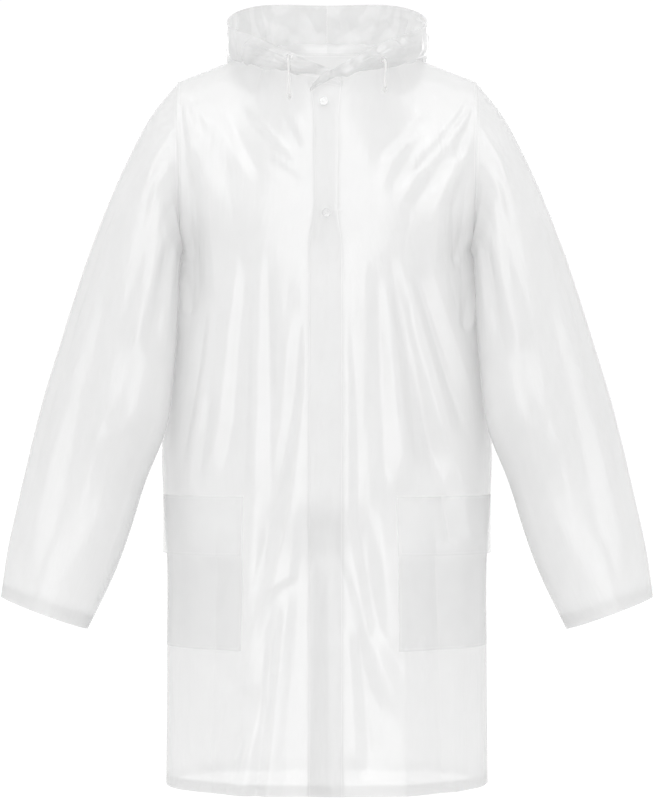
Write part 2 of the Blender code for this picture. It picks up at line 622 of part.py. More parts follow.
def build_coat():
    left_offsets = (UNDERLAP, LEFT_EDGE, BAND_EDGES[1])
    right_offsets = (0.0, -BAND_EDGES[0])
    left_half = half_panel("front", left_offsets)
    right_half = half_panel("front", right_offsets)
    back_half = half_panel("back", (0.0,))
    shoulder = SHOULDER_COLUMNS + 1
    right_half[-1, -shoulder:] = left_half[-1, -shoulder:]
    back_half[-1, -shoulder:] = left_half[-1, -shoulder:]
    right_half[:, -1] = left_half[:, -1]
    armpit = len(ROW_HEIGHTS) - 1
    back_half[: armpit + 1, -1] = left_half[: armpit + 1, -1]

    armhole_ring = np.concatenate([left_half[armpit:, -1][::-1], back_half[armpit + 1:, -1]])
    sleeve = sleeve_grid(armhole_ring)
    sleeve_out = grid_normals(sleeve, closed=True)

    back_neck = back_half[-1, : NECK_COLUMNS + 1][::-1]
    left_neck = left_half[-1, 1 : NECK_COLUMNS + 3]
    right_neck = right_half[-1, : NECK_COLUMNS + 2]
    hood_left = hood_half(LEFT_THROAT, left_neck, back_neck)
    corner = np.stack([corner_column(column) for column in HOOD_CORNER], axis=1)
    hood_left = np.concatenate([corner, hood_left], axis=1)
    hood_right = hood_half(RIGHT_THROAT, right_neck, back_neck)

    front = np.concatenate([mirrored(right_half)[:, ::-1], left_half], axis=1)
    front = draped(front, FRONT_FOLDS, 1.0)
    front_out = grid_normals(front)
    split = right_half.shape[1] + 1
    front[-1, split - 1] += (front[-2, split - 1] - front[-1, split - 1]) * UNDERLAP_DROP
    back = np.concatenate([mirrored(back_half)[:, :0:-1], back_half], axis=1)
    back = draped(back, BACK_FOLDS, -1.0)

    panels = {
        "front_right": (front[:, :split], front_out[:, :split]),
        "front_left": (front[:, split:], front_out[:, split:]),
        "back": (back, -grid_normals(back)),
        "sleeve_left": (sleeve, sleeve_out),
        "sleeve_right": (mirrored(sleeve), mirrored(sleeve_out)),
        "hood_left": (hood_left, grid_normals(hood_left)),
        "hood_right": (mirrored(hood_right), mirrored(grid_normals(hood_right))),
    }
    met = dict(zip(panels, shared_normals(panels.values())))
    sewn = {
        "front_right": ("left", "top"),
        "front_left": ("right", "top"),
        "back": ("left", "right", "top"),
        "sleeve_left": ("bottom",),
        "sleeve_right": ("bottom",),
        "hood_left": ("bottom", "right"),
        "hood_right": ("bottom", "right"),
    }
    for name, (grid, normals) in panels.items():
        grid = grid.copy()
        for edge in sewn[name]:
            ease_edge(grid, normals, edge, SEAM_GAP if edge == "bottom" else SEAM_GAP / 2)
        cloth_wall(name, grid, met[name], closed=name.startswith("sleeve"))

    band = front[:, split - 3 : split + 2][:, [0, 1, 2, 4]].copy()
    band_out = front_out[:, split - 3 : split + 2][:, [0, 1, 2, 4]].copy()
    band[-1] = band[-2] + (band[-1] - band[-2]) * BAND_TOP
    band += band_out * LAYER_STEP
    band[-1] += band_out[-1] * 2 * SEAM_GAP
    cloth_wall("placket", band, band_out)
    for number, (x, z) in enumerate(zip(SNAP_X, SNAP_HEIGHTS), start=1):
        seat, normal = seat_on(band, x, z, SNAP_RADIUS)
        seat += normal * (WALL / 2 + 2 * SEAM_GAP)
        turned_cap(f"snap_{number}", seat, normal, SNAP_RADIUS, SNAP_THICKNESS, SNAP_PLASTIC)

    for side, columns in POCKET_COLUMNS.items():
        for name, (low, high), layer in (("pocket", POCKET_ROWS, 1), ("flap", FLAP_ROWS, 2)):
            block = np.s_[low : high + 1, columns[0] : columns[1] + 1]
            grid, out = front[block].copy(), front_out[block]
            lift = np.full(grid.shape[:2], LAYER_STEP * layer)
            if name == "flap":
                lift += FLAP_FLARE * np.linspace(1, 0, high - low + 1)[:, None] ** 1.5
            cloth_wall(f"{name}_{side}", grid + out * lift[..., None], out)

    hood_fronts = {
        "left": hood_left[:, len(HOOD_CORNER) :][:, :HOOD_FRONT_COLUMNS],
        "right": mirrored(hood_right[:, :HOOD_FRONT_COLUMNS])[:, ::-1],
    }
    for name, route in CORD_ROUTES.items():
        side = name.split("_")[1]
        outer = hood_fronts[side][HOOD_OUTER_ROW:]
        seat, normal = seat_on(outer, route[0][0], route[0][2], EYELET_RADIUS)
        seat += normal * (WALL / 2 + SEAM_GAP)
        turned_cap(f"eyelet_{side}", seat, normal, EYELET_RADIUS, EYELET_THICKNESS, SNAP_PLASTIC, EYELET_HOLE)
        cord(name, route)


for old in list(bpy.data.objects):
    bpy.data.objects.remove(old, do_unlink=True)
bpy.context.scene.collection.children.link(coat)
build_coat()
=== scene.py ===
import math

import bpy
import numpy as np
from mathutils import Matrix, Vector, noise


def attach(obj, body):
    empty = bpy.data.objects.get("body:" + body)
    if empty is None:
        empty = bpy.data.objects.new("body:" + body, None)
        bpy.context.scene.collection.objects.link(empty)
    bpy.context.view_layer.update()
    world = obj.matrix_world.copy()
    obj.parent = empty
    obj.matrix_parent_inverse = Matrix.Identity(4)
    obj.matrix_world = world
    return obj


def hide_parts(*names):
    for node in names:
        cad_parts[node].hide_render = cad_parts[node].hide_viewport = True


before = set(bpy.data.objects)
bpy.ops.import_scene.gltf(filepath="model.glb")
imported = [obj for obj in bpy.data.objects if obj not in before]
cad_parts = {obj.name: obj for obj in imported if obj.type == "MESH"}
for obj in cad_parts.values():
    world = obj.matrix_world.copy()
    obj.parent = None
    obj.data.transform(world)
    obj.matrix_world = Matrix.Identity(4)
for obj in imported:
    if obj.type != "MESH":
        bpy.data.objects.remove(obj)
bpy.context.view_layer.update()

# Nothing is selected, before anything is added or replaced
bpy.ops.object.select_all(action="DESELECT")

# Everything is in metres: X to the wearer's left, Y to the back, Z up, and the front faces -Y
camera = {"distance": 4.5, "aside": -0.0007, "height": -0.4771, "lens": 142.6, "clip": (0.1, 100.0)}


def placeCamera():
    lens = bpy.data.cameras.new("camera")
    lens.lens = camera["lens"]
    lens.clip_start, lens.clip_end = camera["clip"]
    holder = bpy.data.objects.new("camera", lens)
    bpy.context.scene.collection.objects.link(holder)
    holder.location = (camera["aside"], -camera["distance"], camera["height"])
    holder.rotation_euler = (math.pi / 2, 0, 0)
    bpy.context.scene.camera = holder


placeCamera()
print("camera in place")


# Curves and tables
def columns(names, *rows):
    return dict(zip(names.split(), np.array(rows, float).T))


# a smooth curve from the values at low to the next ones, by their slopes, for t from 0 to 1
def between(values, slopes, low, t, span=1.0):
    start = (2 * t**3 - 3 * t**2 + 1) * values[low] + (t**3 - 2 * t**2 + t) * span * slopes[low]
    end = (3 * t**2 - 2 * t**3) * values[low + 1] + (t**3 - t**2) * span * slopes[low + 1]
    return start + end


# reads a column of a table, by the table's first column, on a smooth curve through its rows
def follow(table, column, at):
    places, values = next(iter(table.values())), table[column]
    if places[0] > places[-1]:
        places, values = places[::-1], values[::-1]
    slopes = np.gradient(values, places)
    at = np.clip(np.asarray(at, float), places[0], places[-1])
    low = np.clip(np.searchsorted(places, at) - 1, 0, len(places) - 2)
    span = places[low + 1] - places[low]
    return between(values, slopes, low, (at - places[low]) / span, span)


def smoothStep(t):
    t = np.clip(t, 0.0, 1.0)
    return t * t * (3 - 2 * t)


def lengthsAlong(points):
    steps = np.linalg.norm(np.diff(points, axis=0), axis=1)
    return np.concatenate([[0.0], np.cumsum(steps)])


def atLengths(points, lengths):
    along = lengthsAlong(points)
    return np.stack([np.interp(lengths, along, points[:, axis]) for axis in range(3)], axis=1)


def evenly(points, count):
    return atLengths(points, np.linspace(0, lengthsAlong(points)[-1], count))


# points on a smooth curve through the given ones, where t counts those from 0
def curveAt(points, t):
    points = np.asarray(points, float)
    slopes = np.gradient(points, axis=0)
    low = np.clip(t.astype(int), 0, len(points) - 2)
    return between(points, slopes, low, (t - low).reshape(-1, *[1] * (points.ndim - 1)))


def curveThrough(points, count):
    return evenly(curveAt(points, np.linspace(0, len(points) - 1, 16 * len(points))), count)


def mirrored(grid):
    return grid * np.array([-1.0, 1.0, 1.0])


# outward normals of a grid whose rows go up and whose columns go to the wearer's left
def gridNormals(grid, closed=False):
    up = np.gradient(grid, axis=0)
    if closed:
        ring = np.concatenate([grid[:, -2:-1], grid, grid[:, 1:2]], axis=1)
        across = (ring[:, 2:] - ring[:, :-2]) / 2
    else:
        across = np.gradient(grid, axis=1)
    normals = np.cross(across, up)
    return normals / np.maximum(np.linalg.norm(normals, axis=2, keepdims=True), 1e-12)


# Shader maths: a Wire is one output socket, and sums with Wires add Math nodes
class Wire:
    def __init__(self, nodes, socket):
        self.nodes = nodes
        self.socket = socket

    def maths(self, operation, first, second=0.0, clamped=False):
        settings = {"operation": operation, "use_clamp": clamped}
        return self.nodes.node("ShaderNodeMath", settings, {0: first, 1: second})

    def __add__(self, other):
        return self.maths("ADD", self, other)

    __radd__ = __add__

    def __sub__(self, other):
        return self.maths("SUBTRACT", self, other)

    def __rsub__(self, other):
        return self.maths("SUBTRACT", other, self)

    def __mul__(self, other):
        return self.maths("MULTIPLY", self, other)

    __rmul__ = __mul__

    def __truediv__(self, other):
        return self.maths("DIVIDE", self, other)

    def __abs__(self):
        return self.maths("ABSOLUTE", self)

    def limited(self):
        return self.maths("ADD", self, 0.0, clamped=True)


class Nodes:
    def __init__(self, tree):
        self.tree = tree

    # adds a node: its settings go first, then the values or links of its sockets
    def node(self, kind, settings=None, sockets=None, output=0):
        made = self.tree.nodes.new(kind)
        for key, value in (settings or {}).items():
            if key == "stops":
                for stop, (place, shade) in zip(made.color_ramp.elements, value):
                    stop.position = place
                    stop.color = (shade, shade, shade, 1.0)
            else:
                setattr(made, key, value)
        for key, value in (sockets or {}).items():
            self.feed(made.inputs[key], value)
        return Wire(self, made.outputs[output])

    def feed(self, socket, value):
        if isinstance(value, Wire):
            self.tree.links.new(value.socket, socket)
        else:
            socket.default_value = value


class Paint(Nodes):
    def __init__(self, name, colour, roughness, **constants):
        self.material = bpy.data.materials.new(name)
        self.material.use_nodes = True
        super().__init__(self.material.node_tree)
        self.shader = self.tree.nodes["Principled BSDF"]
        self.set("Base Color", (*colour, 1.0))
        self.set("Roughness", roughness)
        for socket, value in constants.items():
            self.set(socket.replace("_", " "), value)

    def set(self, socket, value):
        self.feed(self.shader.inputs[socket], value)

    def finish(self, factor, second):
        surface = Wire(self, self.shader.outputs[0])
        both = self.node("ShaderNodeMixShader", None, {0: factor, 1: surface, 2: second})
        self.feed(self.tree.nodes["Material Output"].inputs["Surface"], both)

    def noise(self, place, scale, detail=2.0, roughness=0.5):
        sockets = {"Vector": place, "Scale": scale, "Detail": detail, "Roughness": roughness}
        return self.node("ShaderNodeTexNoise", None, sockets)

    def stretched(self, place, scale):
        return self.node("ShaderNodeMapping", None, {"Vector": place, "Scale": scale})

    def mixed(self, factor, first, second):
        colours = {6: (*first, 1.0), 7: (*second, 1.0), 0: factor}
        return self.node("ShaderNodeMix", {"data_type": "RGBA"}, colours, output=2)

    def bumped(self, height, distance):
        return self.node("ShaderNodeBump", None, {"Height": height, "Distance": distance})


film = {
    "colour": (0.905, 0.905, 0.905),
    "milky": (0.955, 0.955, 0.955),
    "kinds": {  # share of the light that each face stops, what a weld adds to it, and how light its colour is, lowered on the hood and the flap as painted shade
        "panel": (0.53, 0.20, 0.99),
        # painted shade: the hood's colour is darkened to stand in for the shade that its film, which casts
        # no shadows, would make
        "hood": (0.56, 0.12, 0.645),
        "pocket": (0.17, 0.06, 1.0),
        # painted shade: the flap's colour is darkened to stand in for the shade that it, casting no
        # shadows, would make
        "flap": (0.16, 0.05, 0.80),
    },
    "cloud": 0.10,
    "cloudScale": 11.0,
    "paintedShadePatches": 0.91,  # painted shade: how light the hood's random darker patches are, standing in for the shade of its crumples and doubled film
    "patchScale": (15.0, 24.0, 1.0),
    "patchEdges": ((0.45, 0.0), (0.54, 1.0)),
    "glow": 0.22,  # how much of the film scatters light through to its other side
    "glowColour": (0.975, 0.975, 0.975, 1.0),
    "roughness": 0.11,
    "cloudRoughness": 0.16,
    "weldRoughness": 0.08,
    "gloss": {
        "IOR": 1.8, "Specular_IOR_Level": 1.0,
        "Coat_Weight": 0.8, "Coat_IOR": 1.8, "Coat_Roughness": 0.07,
    },
    "wrinkle": 0.0016,  # heights of the bumps, in metres
    "wrinkleScale": (52.0, 9.0, 1.0),
    "crinkle": 0.000352,
    "crinkleScale": (150.0, 60.0, 1.0),
    "peel": 0.00016,
    "peelScale": 900.0,
    "weldLine": 0.0034,
    "weldHalf": 0.0011,
    "weldPress": 0.0002,
}


def filmPaint(name, share, welded, toneWithPaintedShade):
    colour, milky = ([toneWithPaintedShade * part for part in film[kind]] for kind in ("colour", "milky"))
    paint = Paint(name, colour, film["roughness"], **film["gloss"])
    cut = paint.node("ShaderNodeUVMap", {"uv_map": "cut"})
    fromEdge = paint.node("ShaderNodeAttribute", {"attribute_name": "fromEdge"}, None, "Fac")
    cloud = paint.noise(cut, film["cloudScale"], 2.0, 0.55)
    wrinkle = paint.noise(paint.stretched(cut, film["wrinkleScale"]), 1.0, 2.0, 0.6)
    crinkle = paint.noise(paint.stretched(cut, film["crinkleScale"]), 1.0, 1.0, 0.5)
    peel = paint.noise(cut, film["peelScale"], 0.0)
    weld = (1.0 - abs(fromEdge - film["weldLine"]) / film["weldHalf"]).limited()
    paint.set("Base Color", paint.mixed(cloud, colour, milky))
    rough = film["roughness"] + (cloud - 0.5) * film["cloudRoughness"]
    paint.set("Roughness", rough - weld * film["weldRoughness"])
    cover = share + (cloud - 0.5) * film["cloud"] + weld * cloud * welded
    paint.set("Alpha", cover.limited())
    height = wrinkle * film["wrinkle"] + crinkle * film["crinkle"] + peel * film["peel"]
    paint.set("Normal", paint.bumped(height - weld * film["weldPress"], 1.0))
    through = paint.node("ShaderNodeBsdfTranslucent", None, {"Color": film["glowColour"]})
    paint.finish(film["glow"], through)
    # painted shade: random darker patches over the hood's colour
    if name == "hoodFilm":
        paintedShadePatches = paint.noise(paint.stretched(cut, film["patchScale"]), 1.0, 1.0, 0.4)
        steep = paint.node("ShaderNodeValToRGB", {"stops": film["patchEdges"]}, {"Fac": paintedShadePatches})
        paint.set("Base Color", paint.mixed(steep, [film["paintedShadePatches"] * part for part in colour], milky))
    return paint.material


filmFinishes = {kind: filmPaint(kind + "Film", *shares) for kind, shares in film["kinds"].items()}
print("film mixed")

# The drawstring's free ends come first of the soft pieces, with their routes as in the plain solids
cords = {
    "diameter": 0.003,
    "routes": {
        "left": (
            (0.0772, -0.1037, -0.0050), (0.0778, -0.1047, -0.0050), (0.0797, -0.1076, -0.0057),
            (0.0808, -0.1093, -0.0083), (0.0812, -0.1100, -0.0118), (0.0812, -0.1101, -0.0180),
            (0.0808, -0.1099, -0.0265), (0.0803, -0.1097, -0.0350), (0.0800, -0.1095, -0.0440),
        ),
        "right": (
            (-0.0523, -0.1138, -0.0024), (-0.0524, -0.1150, -0.0018), (-0.0529, -0.1183, -0.0013),
            (-0.0533, -0.1214, -0.0036), (-0.0535, -0.1231, -0.0080), (-0.0532, -0.1233, -0.0150),
            (-0.0527, -0.1230, -0.0250), (-0.0522, -0.1226, -0.0360), (-0.0519, -0.1221, -0.0460),
            (-0.0519, -0.1217, -0.0540),
        ),
    },
    "knot": {"radius": 0.0024, "strand": 0.0011, "squash": 0.75, "drop": 1.3, "steps": 60},
    "colour": (0.97, 0.97, 0.96),
    # painted shade: the cord's colour darkens to this in the grooves between its strands, where the bump
    # is lowest
    "shade": (0.86, 0.86, 0.86),
    "strands": 433.3,
    "fuzz": 2600.0,
    "relief": 0.0003,
}


def cordPaint():
    paint = Paint("braidedCord", cords["colour"], 0.7)
    place = paint.node("ShaderNodeTexCoord", None, None, "Object")
    settings = {"wave_type": "BANDS", "bands_direction": "DIAGONAL"}
    sockets = {"Vector": place, "Scale": cords["strands"], "Distortion": 1.5, "Detail": 1.0}
    strands = paint.node("ShaderNodeTexWave", settings, sockets)
    fuzz = paint.noise(place, cords["fuzz"])
    # painted shade in the grooves between the strands
    paint.set("Base Color", paint.mixed(strands, cords["shade"], cords["colour"]))
    paint.set("Normal", paint.bumped(strands + fuzz * 0.5, cords["relief"]))
    return paint.material


def lineCurve(name, points, thickness, finish, closed=False):
    curve = bpy.data.curves.new(name, "CURVE")
    curve.dimensions = "3D"
    curve.bevel_depth = thickness / 2
    curve.bevel_resolution = 4
    curve.use_fill_caps = True
    spline = curve.splines.new("POLY")
    spline.points.add(len(points) - 1)
    spline.use_cyclic_u = closed
    for spot, point in zip(spline.points, points):
        spot.co = (*point, 1.0)
    curve.materials.append(finish)
    made = bpy.data.objects.new(name, curve)
    bpy.context.scene.collection.objects.link(made)
    return made


def choose(piece):
    bpy.ops.object.select_all(action="DESELECT")
    piece.select_set(True)
    bpy.context.view_layer.objects.active = piece


# an overhand knot: a strand wound three ways round, turned to a mesh and set on the cord's end
def tieKnot(name, end, finish):
    knot = cords["knot"]
    t = np.linspace(0, 2 * math.pi, knot["steps"], endpoint=False)
    reach = knot["radius"] / 3
    x = reach * (np.sin(t) + 2 * np.sin(2 * t))
    y = reach * (np.cos(t) - 2 * np.cos(2 * t))
    z = -knot["squash"] * knot["radius"] * np.sin(3 * t)
    turned = np.stack([x, z, y], axis=1) + end - np.array([0.0, 0.0, knot["drop"] * knot["radius"]])
    made = lineCurve(name, turned, 2 * knot["strand"], finish, closed=True)
    choose(made)
    bpy.ops.object.convert(target="MESH")
    bpy.ops.object.shade_smooth()
    return bpy.context.view_layer.objects.active


def makeCords():
    finish = cordPaint()
    for side, route in cords["routes"].items():
        points = curveThrough(route, 36)
        line = lineCurve(side + "Drawstring", points, cords["diameter"], finish)
        knot = tieKnot(side + "Knot", points[-1], finish)
        for piece, node in ((line, "cord_"), (knot, "knot_")):
            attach(piece, "root")
            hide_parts(node + side)


makeCords()
print("drawstring ends hung")

# How finely the cloth is laid: steps for each step of the plain solids
fine = {"across": 6, "down": 10, "up": 6, "film": 0.0004}

body = {
    "armpit": -0.264,
    "hem": -1.020,
    "squareness": 2.3,
    "neckHalfWidth": 0.085,
    "neckRounding": (1.1, 1.4),
    "neckSide": (0.012, 0.018),
    "shoulderPoint": (0.0, -0.025),
    "shoulderRise": 0.003,
    "rings": columns(
        "height halfWidth front back",
        (-0.264, 0.206, 0.128, 0.124),
        (-0.378, 0.220, 0.138, 0.128),
        (-0.520, 0.2345, 0.148, 0.132),
        (-0.619, 0.2315, 0.155, 0.137),
        (-0.697, 0.2265, 0.158, 0.141),
        (-0.832, 0.2265, 0.164, 0.146),
        (-1.020, 0.2280, 0.170, 0.152),
    ),
    "middles": {
        "front": columns(
            "height out",
            (-0.264, 0.128), (-0.200, 0.126), (-0.120, 0.120), (-0.060, 0.110), (-0.026, 0.099),
        ),
        "back": columns(
            "height out",
            (-0.264, 0.124), (-0.180, 0.124), (-0.100, 0.117), (-0.030, 0.100), (0.022, 0.076),
        ),
    },
    "rows": (
        -1.020, -0.968, -0.918, -0.870, -0.822, -0.778, -0.735, -0.692,
        -0.650, -0.610, -0.560, -0.508, -0.456, -0.404, -0.354, -0.308, -0.264,
    ),
    "armholeRows": 9,
    "neckColumns": 7,
    "neckShare": 0.44,
    "shoulderColumns": 10,
    "hemRows": 4,
    "hemIn": 0.0010,
    "underlap": 0.0195,
    "underlapDrop": 0.35,
    "band": (-0.0268, 0.0232),
    "easing": 60,
    "easedRows": 12,
    "neckEasing": 240,
    "easingCalm": (5.0, 3.0),  # plain columns and rows over which the easing dies away
    "samples": 160,
}

sleeve = {
    "sections": columns(
        "along outerX outerZ innerX innerZ middleY front back",
        (0.00, 0.2115, -0.025, 0.206, -0.264, 0.000, 0.080, 0.075),
        (0.05, 0.2440, -0.066, 0.2165, -0.271, -0.005, 0.080, 0.076),
        (0.14, 0.2810, -0.135, 0.2205, -0.303, -0.016, 0.077, 0.075),
        (0.23, 0.3100, -0.204, 0.2215, -0.345, -0.030, 0.073, 0.072),
        (0.32, 0.3350, -0.272, 0.2235, -0.389, -0.040, 0.069, 0.068),
        (0.42, 0.3570, -0.340, 0.2265, -0.434, -0.048, 0.065, 0.064),
        (0.52, 0.3770, -0.407, 0.2310, -0.481, -0.055, 0.061, 0.060),
        (0.62, 0.3970, -0.474, 0.2390, -0.530, -0.060, 0.058, 0.057),
        (0.72, 0.4140, -0.542, 0.2530, -0.583, -0.064, 0.055, 0.054),
        (0.82, 0.4310, -0.617, 0.2740, -0.656, -0.068, 0.051, 0.051),
        (0.92, 0.4460, -0.687, 0.3000, -0.726, -0.072, 0.048, 0.048),
        (1.00, 0.4550, -0.751, 0.3340, -0.796, -0.076, 0.045, 0.045),
    ),
    "rows": 160,
    "crowding": 1.15,
    "cuffRows": 4,
    "cuffIn": 0.0010,
    "radius": 0.062,  # the mean one, by which the strips' widths become turns round the arm
    "tuck": (0.0135, 0.035),  # how far the inner edge turns in and forwards to lie by the coat
}


# Rows of points from the middle of the front or back to the wearer's left side
def ringQuarter(height, side):
    turn = np.linspace(0, math.pi / 2, 2 * body["samples"])
    halfWidth = follow(body["rings"], "halfWidth", height)
    depth = follow(body["rings"], side, height) * (-1 if side == "front" else 1)
    power = 2 / body["squareness"]
    x = halfWidth * np.sin(turn) ** power
    return np.stack([x, depth * np.cos(turn) ** power, np.full_like(x, height)], axis=1)


def neckQuarter(side):
    turn = np.linspace(0, math.pi / 2, body["samples"])
    table, sign = body["middles"][side], (-1 if side == "front" else 1)
    out, top = sign * table["out"][-1], table["height"][-1]
    sideY, sideZ = body["neckSide"]
    y = sideY + (out - sideY) * np.cos(turn) ** body["neckRounding"][0]
    z = sideZ + (top - sideZ) * np.cos(turn) ** body["neckRounding"][1]
    return np.stack([body["neckHalfWidth"] * np.sin(turn), y, z], axis=1)


def shoulderSeam():
    t = np.linspace(0, 1, body["samples"])
    start = np.array([body["neckHalfWidth"], *body["neckSide"]])
    end = np.array([sleeve["sections"]["outerX"][0], *body["shoulderPoint"]])
    seam = start + (end - start) * t[:, None]
    seam[:, 2] += body["shoulderRise"] * np.sin(math.pi * t)
    return seam


def sleeveRing(along, angles):
    at = {name: float(follow(sleeve["sections"], name, along)) for name in sleeve["sections"]}
    top = np.array([at["outerX"], at["middleY"], at["outerZ"]])
    bottom = np.array([at["innerX"], at["middleY"], at["innerZ"]])
    points = (top + bottom) / 2 + (top - bottom) / 2 * np.cos(angles)[:, None]
    points[:, 1] -= np.where(np.sin(angles) > 0, at["front"], at["back"]) * np.sin(angles)
    inner = (1 - np.cos(angles)) / 2
    tucked = smoothStep(along / 0.035) * smoothStep((0.78 - along) / 0.22)
    points[:, 0] -= sleeve["tuck"][0] * tucked * inner**3
    points[:, 1] -= sleeve["tuck"][1] * tucked * smoothStep(along / 0.10) * inner**2
    return points


def upperRow(side, share):
    table, sign = body["middles"][side], (-1 if side == "front" else 1)
    lift = smoothStep(share)
    bottom = evenly(ringQuarter(body["armpit"], side), 2 * body["samples"])
    top = np.concatenate([neckQuarter(side), shoulderSeam()])
    height = body["armpit"] + (table["height"][-1] - body["armpit"]) * share
    middle = np.array([0.0, sign * float(follow(table, "out", height)), height])
    turn = math.pi * (1 - share)
    edge = sleeveRing(0.0, np.array([turn if side == "front" else -turn]))[0]
    across = np.linspace(0, 1, 2 * body["samples"])[:, None]
    row = (1 - lift) * bottom + lift * top + (1 - across) * middle + across * edge
    first = (1 - lift) * bottom[0] + lift * top[0]
    last = (1 - lift) * bottom[-1] + lift * top[-1]
    return row - (1 - across) * first - across * last


def rowPoints(side, share, height, offsets):
    curve = ringQuarter(height, side) if share <= 0 else upperRow(side, share)
    total = lengthsAlong(curve)[-1]
    neck = lengthsAlong(neckQuarter(side))[-1]
    even = offsets[-1] + (total - offsets[-1]) * body["neckShare"]
    corner = even + (neck - even) * smoothStep(share)
    neckPart = np.linspace(offsets[-1], corner, body["neckColumns"] * fine["across"] + 1)[1:]
    sidePart = np.linspace(corner, total, body["shoulderColumns"] * fine["across"] + 1)[1:]
    return atLengths(curve, np.concatenate([offsets, neckPart, sidePart]))


def halfPanel(side, offsets):
    steps = np.arange((len(body["rows"]) - 1) * fine["down"] + 1) / fine["down"]
    heights = np.interp(steps, np.arange(len(body["rows"])), body["rows"])
    places = [(0.0, height) for height in heights]
    count = body["armholeRows"] * fine["up"]
    places += [((k + 1) / count, body["armpit"]) for k in range(count)]
    return np.array([rowPoints(side, share, height, offsets) for share, height in places])


